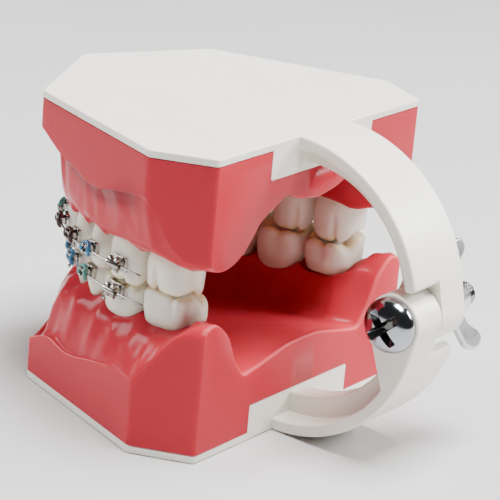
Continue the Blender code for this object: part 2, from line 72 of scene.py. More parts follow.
# The driving dimensions of the CAD model that its boxes don't give
PLATE_THICK = 1.5
BACK_HALF = 31.85
SIDE_Y = BACK_Y - 11.8
FRONT_HALF = 25.6
FRONT_SIDE_Y = BACK_Y - 48.7
FRONT_Y = BACK_Y - 61.3
TAB_HALF = 15.7
TAB_TOP = 7.3
TAB_DEPTH = 3.0
ARM_RADIUS = 30.0
FLANGE_HALF = 7.9
FLANGE_THICK = 2.5
RIB_HALF = 2.7
RIB_RADIUS = 23.5
ARM_END_Z = 22.8
HINGE_Y = BACK_Y + 25.0
KNUCKLE_RADIUS = 5.7
KNUCKLE_END = 8.0
BORE_RADIUS = 2.7
SHANK_RADIUS = 2.4
HEAD_RADIUS = 5.35
HEAD_HIGH = 3.6
NUT_END = -14.6
NUT_RADIUS = 4.7
WING_TILT = math.radians(20.0)
ARCH_Y = BACK_Y - 9.5
ARCH_POWER = 2.2
SPACING = 1.015
BITE_Z = 29.7
CUSP_SWING = 0.7
CUSP_PITCH = 6.0
CUSP_START = 1.6
TONGUE_DROP = 1.2  # of the bite on the tongue side
TONGUE_BAND = (6.0, 10.5)  # how far inside the upper arch that drop comes in
REAR_RISE = 1.2  # of the bite along the second molars' cheek side
REAR_BAND = (1.8, 4.6)  # how far inside the upper arch that rise goes out
REAR_BLEND = 1.5
CONTACT_INSET = (4.2, 3.0)  # from the labial arch to the one on which neighbouring teeth meet
WIRE_OUT = 1.5
WIRE_RADIUS = 0.21
WIRE_END_Y = BACK_Y - 15.6

# Gaps that the visual model leaves
SEAM = 0.12  # between a gum block and its plate
BITE_GAP = 0.08  # between each jaw's cusps and the wave that they both follow
TOOTH_GAP = 0.06  # between neighbouring teeth

# Each jaw: its labial arch (half width, depth), the way from gum to cusp, its wire height, and for each
# tooth of one side (name, mesiodistal width, buccolingual width, gum line z, cusp z, form).
JAWS = {
    "upper": {
        "arch": (31.0, 44.5),
        "toward_bite": -1,
        "wire_z": 33.2,
        "teeth": (
            ("central_incisor", 8.6, 7.0, 37.5, 28.8, "incisor"),
            ("lateral_incisor", 6.8, 6.0, 37.0, 28.9, "incisor"),
            ("canine", 7.8, 7.6, 38.0, 28.7, "canine"),
            ("first_premolar", 7.1, 9.0, 38.0, 29.0, "premolar"),
            ("second_premolar", 6.5, 9.0, 37.8, 29.0, "premolar"),
            ("first_molar", 9.9, 10.6, 37.9, 29.0, "molar"),
            ("second_molar", 10.0, 10.4, 37.8, 29.0, "molar"),
        ),
    },
    "lower": {
        "arch": (29.9, 41.5),
        "toward_bite": 1,
        "wire_z": 27.0,
        "teeth": (
            ("central_incisor", 5.2, 5.6, 22.0, 29.6, "incisor"),
            ("lateral_incisor", 5.7, 5.8, 21.8, 29.6, "incisor"),
            ("canine", 6.7, 7.2, 21.0, 29.8, "canine"),
            ("first_premolar", 6.9, 7.8, 21.8, 30.4, "premolar"),
            ("second_premolar", 6.9, 8.2, 22.3, 30.4, "premolar"),
            ("first_molar", 11.2, 10.2, 21.9, 30.4, "molar"),
            ("second_molar", 11.3, 10.0, 23.4, 30.4, "molar"),
        ),
    },
}
SIDES = ((1, "left"), (-1, "right"))


# Making pieces

WELD = 1e-7  # in metres: points nearer than this are one


def reshape(mesh, weld=False, bowed=False, outward=True):
    """Joins points that meet, cuts caps that aren't flat into triangles, and turns the faces outward."""
    shape = bmesh.new()
    shape.from_mesh(mesh)
    if weld:
        bmesh.ops.remove_doubles(shape, verts=shape.verts, dist=WELD)
    if bowed:
        bmesh.ops.triangulate(shape, faces=shape.faces)
    if outward:
        bmesh.ops.recalc_face_normals(shape, faces=shape.faces)
    shape.to_mesh(mesh)
    shape.free()


def new_object(name, points, faces, **ways):
    """An object from points in millimetres, its mesh reshaped in the given ways."""
    mesh = bpy.data.meshes.new(name)
    mesh.from_pydata([tuple(p) for p in np.asarray(points, float) * MM], [], [tuple(f) for f in faces])
    reshape(mesh, **ways)
    made = bpy.data.objects.new(name, mesh)
    bpy.context.scene.collection.objects.link(made)
    return made


def new_piece(name, points, faces, material, body, replaced=None, sharp=180.0):
    """A piece that rides on a body and has its material's slot. The CAD node that it replaces, if any, is
    hidden.
    """
    piece = new_object(name, points, faces)
    piece.data.shade_smooth()
    if sharp < 180:
        piece.data.set_sharp_from_angle(angle=math.radians(sharp))
    piece.data.materials.append(material)
    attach(piece, body)
    if replaced is not None:
        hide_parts(replaced)
    return piece


def add_attribute(piece, name, values):
    """A number for each vertex, which the piece's material reads."""
    attribute = piece.data.attributes.new(name, "FLOAT", "POINT")
    attribute.data.foreach_set("value", np.asarray(values, np.float32))


def loft(rings, loop=False, caps=True):
    """Points and faces between rings of equal size, closed with caps, or into a ring of rings."""
    count = len(rings[0])
    points = [tuple(p) for ring in rings for p in ring]
    faces = []
    for k in range(len(rings) if loop else len(rings) - 1):
        first, second = k * count, (k + 1) % len(rings) * count
        for i in range(count):
            j = (i + 1) % count
            faces.append((first + i, first + j, second + j, second + i))
    if caps and not loop:
        faces.append(tuple(range(count)))
        faces.append(tuple(range(len(points) - count, len(points))))
    return points, faces


def smooth_step(value, low, high):
    """0 below low, 1 above high, and smooth between them. It works on numbers and on arrays."""
    share = np.clip((value - low) / (high - low), 0.0, 1.0)
    return share * share * (3 - 2 * share)


def smooth_interp(value, at, of):
    """Like np.interp, with an eased run between the given points."""
    at, of = np.asarray(at, float), np.asarray(of, float)
    k = int(np.clip(np.searchsorted(at, value) - 1, 0, len(at) - 2))
    slopes = np.gradient(of, at)
    span = at[k + 1] - at[k]
    t = float(np.clip((value - at[k]) / span, 0.0, 1.0))
    start = (2 * t**3 - 3 * t**2 + 1) * of[k] + (t**3 - 2 * t**2 + t) * span * slopes[k]
    return start + (3 * t**2 - 2 * t**3) * of[k + 1] + (t**3 - t**2) * span * slopes[k + 1]


def curve(start, corner, end, t):
    """The place t of the way along the curve that rounds a corner, or the places where t is a column."""
    return (1 - t) ** 2 * start + 2 * t * (1 - t) * corner + t**2 * end


def unit(vector):
    return vector / np.linalg.norm(vector)


def rounded_corner(before, corner, after, radius, most, samples):
    """A corner rounded from its radius away, or from the share of its sides that most gives, if less."""
    sides = before - corner, after - corner
    start, end = (corner + unit(side) * min(radius, most * np.linalg.norm(side)) for side in sides)
    return curve(start, corner, end, np.linspace(0, 1, samples)[:, None])


def circle(sides):
    """The cosines and sines of points round a circle."""
    angles = 2 * math.pi * np.arange(sides) / sides
    return np.cos(angles), np.sin(angles)


# Materials

NOISE_RANGE = (0.3, 0.7)  # most of a noise's values


def object_noise(tree, scale, detail):
    """A noise texture in object space, scale in cells a metre. Returns its factor output."""
    place = tree.nodes.new("ShaderNodeTexCoord")
    cells = tree.nodes.new("ShaderNodeTexNoise")
    cells.inputs["Scale"].default_value = scale
    cells.inputs["Detail"].default_value = detail
    tree.links.new(place.outputs["Object"], cells.inputs["Vector"])
    return cells.outputs["Fac"]


def ranged_noise(tree, scale, detail, low, high):
    """A noise brought to the range low to high."""
    made = tree.nodes.new("ShaderNodeMapRange")
    for name, value in zip(("From Min", "From Max", "To Min", "To Max"), (*NOISE_RANGE, low, high)):
        made.inputs[name].default_value = value
    tree.links.new(object_noise(tree, scale, detail), made.inputs["Value"])
    return made.outputs["Result"]


def laid_over(tree, under, colour, attribute, speckle=None):
    """A plain colour laid over an output by a vertex attribute, which a noise may break up."""
    weight = tree.nodes.new("ShaderNodeAttribute")
    weight.attribute_name = attribute
    share = weight.outputs["Fac"]
    if speckle:
        broken = tree.nodes.new("ShaderNodeMath")
        broken.operation = "MULTIPLY"
        tree.links.new(share, broken.inputs[0])
        tree.links.new(ranged_noise(tree, *speckle), broken.inputs[1])
        share = broken.outputs["Value"]
    made = tree.nodes.new("ShaderNodeMix")
    made.data_type = "RGBA"
    first, second = (socket for socket in made.inputs if socket.type == "RGBA")
    tree.links.new(share, made.inputs["Factor"])
    tree.links.new(under, first)
    second.default_value = (*colour, 1.0)
    return next(socket for socket in made.outputs if socket.type == "RGBA")


def new_material(name, roughness, tone, stops, gloss=None, bump=None, layers=(), **sockets):
    """A Principled material.

    tone is the (scale, detail) of a noise that runs through two (position, colour) stops, gloss is (scale,
    detail, lowest, highest roughness) and bump is (scale, detail, depth, strength). layers are colours laid
    over it, each as (colour, attribute) with its speckle. sockets are further inputs, with _ for a space.
    """
    made = bpy.data.materials.new(name)
    made.use_nodes = True
    tree = made.node_tree
    inputs = tree.nodes["Principled BSDF"].inputs
    for socket, value in {"Roughness": roughness, **sockets}.items():
        inputs[socket.replace("_", " ")].default_value = value
    ramp = tree.nodes.new("ShaderNodeValToRGB")
    for element, (position, shade) in zip(ramp.color_ramp.elements, stops):
        element.position = position
        element.color = (*shade, 1.0)
    tree.links.new(object_noise(tree, *tone), ramp.inputs["Fac"])
    colour = ramp.outputs["Color"]
    for layer in layers:
        colour = laid_over(tree, colour, *layer)
    tree.links.new(colour, inputs["Base Color"])
    if gloss:
        tree.links.new(ranged_noise(tree, *gloss), inputs["Roughness"])
    if bump:
        relief = tree.nodes.new("ShaderNodeBump")
        relief.inputs["Distance"].default_value, relief.inputs["Strength"].default_value = bump[2:]
        tree.links.new(object_noise(tree, *bump[:2]), relief.inputs["Height"])
        tree.links.new(relief.outputs["Normal"], inputs["Normal"])
    return made


def make_gum_material():
    """Coral pink resin: faintly cloudy, glossy, a little translucent, painted shade in folds, painted
    highlight on edges.
    """
    return new_material(
        "gum_pink", 0.22, tone=(60, 3.0),
        stops=((0.25, (0.470, 0.027, 0.044)), (0.75, (0.500, 0.031, 0.048))),
        gloss=(120, 3.0, 0.20, 0.25), bump=(700, 1.0, 0.00001, 0.15),
        # painted shade in the fold under the wall's edge, then a painted highlight on the wall's and the
        # back's edges
        layers=(((0.20, 0.006, 0.012), "fold_shade"), ((0.72, 0.19, 0.20), "edge")),
        Specular_IOR_Level=0.08, Subsurface_Weight=0.40, Subsurface_Scale=0.004,
        Subsurface_Radius=(1.0, 0.22, 0.18))


def make_plate_material():
    """Off-white moulded plastic with a faint pearl and fine flow marks."""
    return new_material(
        "plate_white", 0.35, tone=(60, 3.0), stops=((0.3, (0.82, 0.785, 0.70)), (0.7, (0.87, 0.84, 0.76))),
        gloss=(200, 3.0, 0.30, 0.40), bump=(2500, 2.0, 0.00001, 0.6),
        Subsurface_Weight=0.10, Subsurface_Scale=0.001, Subsurface_Radius=(1.0, 0.9, 0.7))


def make_tooth_material():
    """Ivory resin, yellower at the neck and stained ochre in the fissures."""
    return new_material(
        "tooth_ivory", 0.24, tone=(350, 3.0), stops=((0.3, (0.78, 0.72, 0.61)), (0.7, (0.84, 0.79, 0.69))),
        gloss=(500, 3.0, 0.19, 0.28), bump=(1200, 2.0, 0.00001, 0.4),
        layers=(((0.72, 0.58, 0.42), "neck"), ((0.84, 0.62, 0.14), "stain", (1400, 4.0, 0.25, 1.0))),
        Subsurface_Weight=0.5, Subsurface_Scale=0.003, Subsurface_Radius=(1.0, 0.7, 0.45))


def make_metal_material(name, colour, rough_low, rough_high):
    """Bright metal, a little uneven in tone and gloss, with painted shade in recesses where a vertex
    attribute gives it.
    """
    dull = tuple(0.92 * c for c in colour)
    return new_material(
        name, rough_low, tone=(300, 2.0), stops=((0.3, dull), (0.7, colour)),
        gloss=(250, 2.0, rough_low, rough_high), bump=(1500, 2.0, 0.000003, 0.2),
        # painted shade laid over the metal in recesses
        layers=(((0.07, 0.068, 0.055), "recess_shade"),), Metallic=1.0)


def make_rubber_material(name, colour):
    """A coloured elastic ligature: glossy, slightly see-through, uneven from stretching."""
    dark = tuple(0.6 * c for c in colour)
    return new_material(
        name, 0.2, tone=(1500, 3.0), stops=((0.35, dark), (0.65, colour)), gloss=(2500, 3.0, 0.14, 0.3),
        Subsurface_Weight=0.2, Subsurface_Scale=0.0004)


GUM = make_gum_material()
PLATE = make_plate_material()
TOOTH = make_tooth_material()
BRACKET = make_metal_material("bracket_steel", (0.40, 0.375, 0.35), 0.10, 0.24)
WIRE = make_metal_material("wire_steel", (0.34, 0.33, 0.31), 0.15, 0.30)
CHROME = make_metal_material("screw_chrome", (0.37, 0.38, 0.41), 0.10, 0.18)
ZINC = make_metal_material("nut_zinc", (0.74, 0.75, 0.76), 0.24, 0.34)
RUBBERS = {
    "blue": make_rubber_material("ligature_blue", (0.05, 0.23, 0.45)),
    "teal": make_rubber_material("ligature_teal", (0.12, 0.40, 0.36)),
    "dark": make_rubber_material("ligature_dark", (0.055, 0.025, 0.022)),
}


# Arches


def arch_path(half_width, depth):
    """Points along half an arch, from the midline in front to the back face, on the +X side."""
    angles = np.linspace(math.pi / 2, 0, 480)
    x = half_width * np.cos(angles).clip(0) ** (2 / ARCH_POWER)
    y = ARCH_Y - depth * np.sin(angles).clip(0) ** (2 / ARCH_POWER)
    leg = np.linspace(ARCH_Y, BACK_Y, 20)[1:]
    return np.column_stack([np.append(x, np.full(len(leg), half_width)), np.append(y, leg)])


def lengths_along(path):
    return np.append(0.0, np.linalg.norm(np.diff(path, axis=0), axis=1).cumsum())


def spot_along(path, lengths, length):
    return np.array([np.interp(length, lengths, path[:, i]) for i in (0, 1)])


def point_along(path, length):
    """The point this far along a path, with its unit tangent toward the back and its outward normal."""
    lengths = lengths_along(path)
    ahead = spot_along(path, lengths, length + 0.5)
    behind = spot_along(path, lengths, length - 0.5) if length >= 0.5 else ahead * (-1, 1)
    tangent = unit(ahead - behind)
    return spot_along(path, lengths, length), tangent, np.array([tangent[1], -tangent[0]])


def meets(path, point, normal):
    """How far a line from point along normal goes to a path."""
    spans = path[1:] - path[:-1]
    away = path[:-1] - point
    cross = normal[0] * spans[:, 1] - normal[1] * spans[:, 0]
    cross = np.where(np.abs(cross) < 1e-12, np.inf, cross)
    reach = (away[:, 0] * spans[:, 1] - away[:, 1] * spans[:, 0]) / cross
    share = (away[:, 0] * normal[1] - away[:, 1] * normal[0]) / cross
    return reach[(reach > 0) & (share >= -1e-9) & (share <= 1 + 1e-9)][0]


def tooth_frames(jaw):
    """For each tooth of one side: its row, labial point, unit tangent and outward normal."""
    half_width, depth = JAWS[jaw]["arch"]
    labial = arch_path(half_width, depth)
    contact = arch_path(half_width - CONTACT_INSET[0], depth - CONTACT_INSET[1])
    frames = []
    travelled = 0.0
    for row in JAWS[jaw]["teeth"]:
        width = row[1] * SPACING
        centre, tangent, normal = point_along(contact, travelled + width / 2)
        travelled += width
        frames.append((row, centre + normal * meets(labial, centre, normal), tangent, normal))
    return frames


UPPER_LABIAL = arch_path(*JAWS["upper"]["arch"])
LAST_MOLAR_Y = (tooth_frames("upper")[-1][1][1] + tooth_frames("upper")[-2][1][1]) / 2


def bite_heights(points):
    """The wave that the cusps of both jaws follow, at each (x, y) point on the +X side."""
    away = np.linalg.norm(UPPER_LABIAL[None, :, :] - np.asarray(points)[:, None, :], axis=2).min(axis=1)
    wave = CUSP_SWING * np.cos(2 * math.pi * (away - CUSP_START) / CUSP_PITCH)
    rear = smooth_step(np.asarray(points)[:, 1], LAST_MOLAR_Y - REAR_BLEND, LAST_MOLAR_Y + REAR_BLEND)
    rise = REAR_RISE * rear * (1 - smooth_step(away, *REAR_BAND))
    return BITE_Z - wave + rise - TONGUE_DROP * smooth_step(away, *TONGUE_BAND)


# Teeth

TOOTH_SIDES = 80
WALL_STEPS = 22
CAP_STEPS = 26
ROOT_SHARE = -0.35  # the height share at which a crown starts, hidden in the gum
FISSURE_DEPTH = 0.42
PIT_DEPTH = 0.35
HOLLOW_DEPTH = 0.75  # of a front tooth's tongue side
RIDGE_HIGH = 0.07  # of the faint upright ridges of a front tooth
TONGUE_TAPER = 0.07
NECK_TINT = 0.55
# By form, the side of the crown from below the gum line (height share -0.35) to the shoulder (1):
# (height share, mesiodistal share, buccolingual share, labial inset, squareness of the outline).
CROWN_SIDES = {
    "molar": (
        (-0.35, 0.90, 0.90, 0.50, 3.0), (0.0, 0.955, 0.96, 0.18, 3.4), (0.35, 0.99, 0.995, 0.02, 3.8),
        (0.65, 1.0, 1.0, 0.0, 4.1), (1.0, 1.0, 0.985, 0.06, 4.3),
    ),
    "upper_molar": (
        (-0.35, 0.86, 0.86, 0.75, 2.5), (0.0, 0.95, 0.94, 0.30, 2.8), (0.35, 0.99, 1.0, 0.0, 3.0),
        (0.65, 0.985, 0.99, 0.05, 3.2), (1.0, 0.95, 0.95, 0.25, 3.4),
    ),
    "premolar": (
        (-0.35, 0.70, 0.78, 1.1, 2.1), (0.0, 0.78, 0.88, 0.55, 2.2), (0.35, 0.90, 0.97, 0.1, 2.3),
        (0.65, 1.0, 1.0, 0.0, 2.4), (1.0, 0.985, 0.96, 0.25, 2.5),
    ),
    "canine": (
        (-0.35, 0.66, 0.80, 0.9, 2.0), (0.0, 0.76, 0.86, 0.45, 2.1), (0.4, 0.92, 0.74, 0.05, 2.2),
        (0.7, 1.0, 0.52, 0.1, 2.3), (1.0, 0.90, 0.24, 0.75, 2.4),
    ),
    "incisor": (
        (-0.35, 0.62, 0.80, 0.9, 2.0), (0.0, 0.72, 0.84, 0.45, 2.1), (0.4, 0.90, 0.66, 0.05, 2.3),
        (0.75, 1.0, 0.36, 0.2, 2.6), (1.0, 0.97, 0.20, 0.55, 3.0),
    ),
}
# By form, for the cheek side and the tongue side: how far below its cusps a back tooth's side ends and its
# cap begins, and the share of the cap's radius from which it rounds over.
CAPS = {"molar": ((0.95, 0.84), (2.1, 0.68)), "premolar": ((2.0, 0.70), (2.0, 0.70))}
# Grooves that part a tooth's cusps: (mesiodistal place as a share of the half width, side, depth, width).
# Side 1 is buccal and -1 is the tongue side.
GROOVES = {
    ("upper", "first_molar"): ((0.05, 1, 1.0, 0.75), (0.42, -1, 0.9, 0.7)),
    ("upper", "second_molar"): ((-0.28, 1, 1.25, 0.6), (0.38, -1, 0.9, 0.7)),
    ("lower", "first_molar"): ((-0.24, 1, 0.9, 0.7), (0.42, 1, 0.75, 0.6), (0.02, -1, 0.7, 1.0)),
    ("lower", "second_molar"): ((0.42, 1, 0.75, 0.5), (0.0, -1, 0.8, 0.9)),
}


def superellipse(angle, power):
    across = math.copysign(abs(math.cos(angle)) ** (2 / power), math.cos(angle))
    outward = math.copysign(abs(math.sin(angle)) ** (2 / power), math.sin(angle))
    return across, outward


def groove_depth(jaw, name, along, outward):
    """How deep the cusp grooves are at a place given as shares of the half width and half depth."""
    total = 0.0 * outward
    for place, side, depth, width in GROOVES.get((jaw, name), ()):
        line = np.exp(-(((along - place) * 5.0 / width) ** 2))
        total = total + depth * line * smooth_step(outward * side, -0.05, 0.7)
    return total


def crown_ring(jaw, row, share):
    """The outline of a tooth's side at a height share, as (along, outward) shares and millimetres."""
    name, wide, deep, _, _, form = row
    table = np.array(CROWN_SIDES["upper_molar" if (jaw, form) == ("upper", "molar") else form])
    wide_share, deep_share, inset, power = (smooth_interp(share, table[:, 0], of) for of in table.T[1:])
    half_wide = (wide * SPACING - TOOTH_GAP) / 2 * wide_share
    half_deep = deep * deep_share / 2
    ring = []
    for k in range(TOOTH_SIDES):
        angle = 2 * math.pi * (k + 0.5) / TOOTH_SIDES
        across, outward = superellipse(angle, power if angle < math.pi else 0.25 * power + 1.7)
        across *= 1 - TONGUE_TAPER * max(-outward, 0.0)
        dent = groove_depth(jaw, name, across, outward) * 0.55 * smooth_step(share, 0.15, 0.95)
        pinch = 1 - dent / half_deep
        ring.append((across * half_wide, outward * half_deep * pinch - inset - half_deep, across, outward))
    return np.array(ring)


def cap_carving(jaw, row, along, outward, radius):
    """How far a back tooth's bite lies inside the wave (rounding, cusps, fissures), and its stain."""
    name, _, _, _, _, form = row
    cheek, tongue = np.array(CAPS[form])[:, :, None]
    shoulder, start = tongue + (cheek - tongue) * smooth_step(outward, -0.3, 0.4)
    rounding = shoulder * (1 - np.sqrt(1 - ((np.clip(radius, start, 1) - start) / (1 - start)) ** 2))
    grooves = groove_depth(jaw, name, along, outward)
    if form == "premolar":
        ends = 0.95 * np.abs(along) ** 1.7
        zigzag = outward - 0.10 * np.cos(along * 3.0) + 0.05
    else:
        ends = 0.45 * np.abs(along) ** 3
        zigzag = outward - 0.16 * np.cos(along * 5.2) + 0.05
    inside = smooth_step(0.86 - np.abs(along), 0.0, 0.25)
    fissure = FISSURE_DEPTH * np.exp(-np.abs(zigzag) / 0.075) * inside
    pits = PIT_DEPTH * np.exp(-((np.abs(along) - 0.62) ** 2 + zigzag**2) / 0.018)
    ring = np.exp(-(((radius - start - 0.45 * (1 - start)) / 0.07) ** 2))
    brim = (0.7 - 0.15 * np.sign(outward)) * ring * (form == "molar")
    stain = np.clip(1.5 * fissure + 0.55 * pits + 0.5 * np.clip(grooves - 0.35, 0, 1) + brim, 0, 1)
    return rounding + grooves + ends + fissure + pits, stain


def on_jaw(spots, labial, tangent, normal):
    """A tooth's own (along, outward) spots, as (x, y) on the jaw."""
    return labial + spots[:, :1] * tangent + spots[:, 1:2] * normal


def neck_tint(share, end):
    return np.full(TOOTH_SIDES, NECK_TINT * (1 - smooth_step(share, -0.1, end)))


def back_tooth_rings(jaw, row, *place):
    """A premolar or molar: side rings up to the shoulder, then cap rings to the middle of the bite."""
    gum_z = row[3]
    toward = JAWS[jaw]["toward_bite"]
    shoulder = crown_ring(jaw, row, 1.0)
    carving, _ = cap_carving(jaw, row, shoulder[:, 2], shoulder[:, 3], np.ones(TOOTH_SIDES))
    shoulder_z = bite_heights(on_jaw(shoulder, *place)) - toward * BITE_GAP - toward * carving
    rings = []
    for share in np.linspace(ROOT_SHARE, 1.0, WALL_STEPS):
        ring = crown_ring(jaw, row, share)
        grooves = groove_depth(jaw, row[0], ring[:, 2], ring[:, 3])
        stain = 0.25 * np.clip(grooves - 0.5, 0, 1) * smooth_step(share, 0.5, 1.0)
        spots = np.column_stack([on_jaw(ring, *place), gum_z + (shoulder_z - gum_z) * share])
        rings.append((spots, neck_tint(share, 0.45), stain))
    middle = shoulder[:, :2].mean(axis=0)
    for k in range(1, CAP_STEPS + 1):
        radius = math.cos(math.pi / 2 * k / CAP_STEPS) if k < CAP_STEPS else 0.0
        flat = on_jaw(middle + (shoulder[:, :2] - middle) * radius, *place)
        along, outward = shoulder[:, 2] * radius, shoulder[:, 3] * radius
        carving, stain = cap_carving(jaw, row, along, outward, np.full(TOOTH_SIDES, radius))
        z = bite_heights(flat) - toward * (BITE_GAP + carving)
        rings.append((np.column_stack([flat, z]), np.zeros(TOOTH_SIDES), stain))
    return rings


def front_tooth_rings(jaw, row, *place):
    """An incisor or canine: rings to a rounded biting edge, hollowed on the tongue side."""
    _, _, _, gum_z, cusp_z, form = row
    _, tangent, normal = place
    toward = JAWS[jaw]["toward_bite"]
    plain = np.zeros(TOOTH_SIDES)
    rings = []
    for share in np.linspace(ROOT_SHARE, 1.0, WALL_STEPS + CAP_STEPS + 1):
        ring = crown_ring(jaw, row, share)
        across, outward = ring[:, 2], ring[:, 3]
        hollow = HOLLOW_DEPTH * math.exp(-(((share - 0.62) / 0.2) ** 2)) * np.exp(-((across / 0.5) ** 2))
        ring[:, 1] += hollow * smooth_step(-outward, 0.2, 0.9)
        ridges = RIDGE_HIGH * np.cos(across * 8.5) * smooth_step(share, 0.55, 0.95)
        ring[:, 1] += ridges * smooth_step(outward, 0.0, 0.6)
        if form == "canine":
            drop = 2.0 * np.abs(across - 0.08) ** 1.3 * smooth_step(share, 0.55, 1.0)
        else:
            drop = 0.55 * np.abs(across) ** 4 * smooth_step(share, 0.7, 1.0)
        z = gum_z + toward * (share * abs(cusp_z - gum_z) - drop)
        rings.append((np.column_stack([on_jaw(ring, *place), z]), neck_tint(share, 0.4), plain))
    edge = rings[-1][0]
    middle = edge.mean(axis=0)
    away = (edge - middle)[:, :2]
    for shrink, rise in ((0.8, 0.06), (0.45, 0.096), (0.0, 0.108)):
        flat = edge[:, :2] - (away @ normal)[:, None] * normal * (1 - shrink)
        if shrink == 0.0:
            flat = middle[:2] + (away @ tangent)[:, None] * tangent * 0.97
        rings.append((np.column_stack([flat, edge[:, 2] + toward * rise]), plain, plain))
    return rings


def make_teeth(jaw):
    for row, *place in tooth_frames(jaw):
        maker = back_tooth_rings if row[5].endswith("molar") else front_tooth_rings
        rings, necks, stains = zip(*maker(jaw, row, *place))
        for side, side_name in SIDES:
            name = f"{jaw}_{side_name}_{row[0]}"
            points, faces = loft([ring * (side, 1, 1) for ring in rings])
            piece = new_piece(f"{name}_crown", points, faces, TOOTH, f"{jaw}_jaw", name)
            add_attribute(piece, "neck", np.concatenate(necks))
            add_attribute(piece, "stain", np.concatenate(stains))


# Gums

# From the back face (share 0) round to the midline in front (share 1). Each row is the share of the way
# round, then heights above the jaw's own plate face: wall top, lingual foot and floor.
GUM_SECTIONS = {
    "lower": (
        (0.00, 25.6, 14.6, 15.6), (0.05, 25.0, 14.4, 15.6), (0.09, 22.6, 14.2, 15.6),
        (0.16, 15.6, 14.0, 15.4), (0.26, 14.6, 13.8, 15.0), (0.34, 13.2, 13.6, 14.8),
        (0.48, 10.8, 13.4, 14.4), (0.56, 11.4, 13.4, 14.2), (0.65, 8.6, 13.6, 14.0),
        (1.00, 8.6, 14.0, 14.2),
    ),
    "upper": (
        (0.00, 20.6, 13.0, 12.0), (0.06, 20.0, 12.8, 12.0), (0.10, 17.0, 12.6, 12.0),
        (0.16, 9.8, 12.4, 11.8), (0.22, 9.9, 12.2, 11.6), (0.36, 12.7, 12.0, 11.6),
        (0.42, 12.8, 12.0, 11.6), (0.48, 11.6, 12.2, 11.8), (0.54, 10.7, 12.6, 12.0),
        (0.65, 7.2, 13.6, 12.8), (1.00, 7.2, 16.4, 14.6),
    ),
}
# The back face's outline from the wall to the midline, as (x, height): the same points in number as a
# section between its wall's foot and the hub.
BACK_PROFILE = {
    "lower": (
        (31.85, 25.3), (31.0, 26.6), (30.2, 27.0), (29.4, 27.2), (28.8, 27.3), (28.2, 27.2), (27.6, 27.0),
        (26.8, 26.5), (26.0, 25.8), (25.0, 24.8), (24.0, 23.6), (23.0, 21.6), (21.6, 18.1), (18.6, 14.3),
        (13.2, 15.3), (5.0, 17.2), (0.0, 17.4),
    ),
    "upper": (
        (31.85, 20.4), (31.2, 21.3), (30.5, 21.8), (29.8, 22.1), (29.0, 22.3), (28.2, 22.5), (27.4, 22.5),
        (26.6, 22.4), (25.6, 22.2), (24.4, 21.8), (23.2, 21.2), (22.0, 20.4), (20.2, 18.6), (17.6, 15.2),
        (10.0, 11.3), (6.0, 12.9), (0.0, 13.9),
    ),
}
BACK_BLEND = 0.11  # share over which the back face's outline turns into the tooth-bearing section
BACK_ROUND = 0.35  # rounding between the back face and the rest
FIRST_SHARE = 0.013
CORNER_ROUND = 0.8
HUB_HEIGHT = {"lower": 17.4, "upper": 13.9}
LIP = 0.38
SCALLOP = {"lower": (1.5, 1.9), "upper": (0.9, 1.9)}  # papilla height over the margin: molars, front teeth
RETROMOLAR = {"lower": 1.8, "upper": 0.4}  # rise behind the last molar
LINGUAL_DROP = {"lower": 1.4, "upper": 0.2}
RECESS = {"lower": 1.2, "upper": 0.25}  # how far the margin sets back at a papilla
TROUGH = {"lower": 0.4, "upper": 0.8}  # depth of the groove between the wall's edge and the bone
VALLEY = {"lower": 0.0, "upper": 0.7}  # depth of the hollow in front of the canine's frenum
FRENUM_PULL = 0.7
ROOT_BULGE = {"incisor": 0.8, "canine": 1.1, "premolar": 0.8, "molar": 0.7}
BULGE_SHARE = {"lower": 1.0, "upper": 0.1}
# How far toward the wall the bone's labial face stands at its foot and under the margin, by share.
BONE_FOOT = {
    "lower": ((0.0, 0.16, 0.26, 0.36, 0.6, 1.0), (0.95, 0.92, 0.86, 0.78, 0.64, 0.46)),
    "upper": ((0.0, 0.16, 0.30, 0.36, 0.6, 1.0), (0.95, 0.94, 0.88, 0.66, 0.48, 0.40)),
}
BONE_TOP = {
    "lower": ((0.0, 0.16, 0.26, 0.36, 0.6, 1.0), (0.60, 0.42, 0.30, 0.28, 0.30, 0.30)),
    "upper": ((0.0, 0.16, 0.30, 0.36, 0.6, 1.0), (0.70, 0.56, 0.44, 0.36, 0.28, 0.22)),
}
# How deep each control point of a section lies in the fold's painted shade under the wall's edge, from the
# wall's edge on.
FOLD_SHADE_DEPTHS = {"lower": (0.0, 0.0, 0.0), "upper": (0.6, 1.0, 0.8)}
EDGE_HIGHLIGHT = {"lower": 0.7, "upper": 0.0}  # painted highlight along the wall's own edge
BACK_STEPS = 7  # sections that round over into the back face
WALL_EDGE = {
    "lower": ((0.0, 0.05, 0.20, 0.30, 1.0), (0.5, 2.5, 2.5, 0.25, 0.25)),
    "upper": ((0.0, 0.05, 0.26, 0.36, 1.0), (0.5, 4.0, 4.0, 0.2, 0.2)),
}
GUM_STATIONS = 190
CARVE_HIGH = 0.16
CARVE_SIDE = 0.14
RUGA_HIGH = 0.35  # of the palate's wrinkles
RUGA_AREA = (ARCH_Y - 26.0, 8.0, 13.0)  # their middle, and where they fade out
CORNER_SAMPLES = 6


def rounded_path(points, radii, samples=CORNER_SAMPLES):
    """A path through points whose corners are rounded, each from at most its radius away."""
    points = np.asarray(points, float)
    result = [
        rounded_corner(*points[i - 1:i + 2], radii[i], 0.48, samples) for i in range(1, len(points) - 1)]
    return np.vstack([points[:1], *result, points[-1:]])


def outline_half():
    """The plate's corners on the +X side, from the back to the midline in front."""
    return [(BACK_HALF, BACK_Y), (SIDE_HALF, SIDE_Y), (FRONT_HALF, FRONT_SIDE_Y), (0.0, FRONT_Y)]


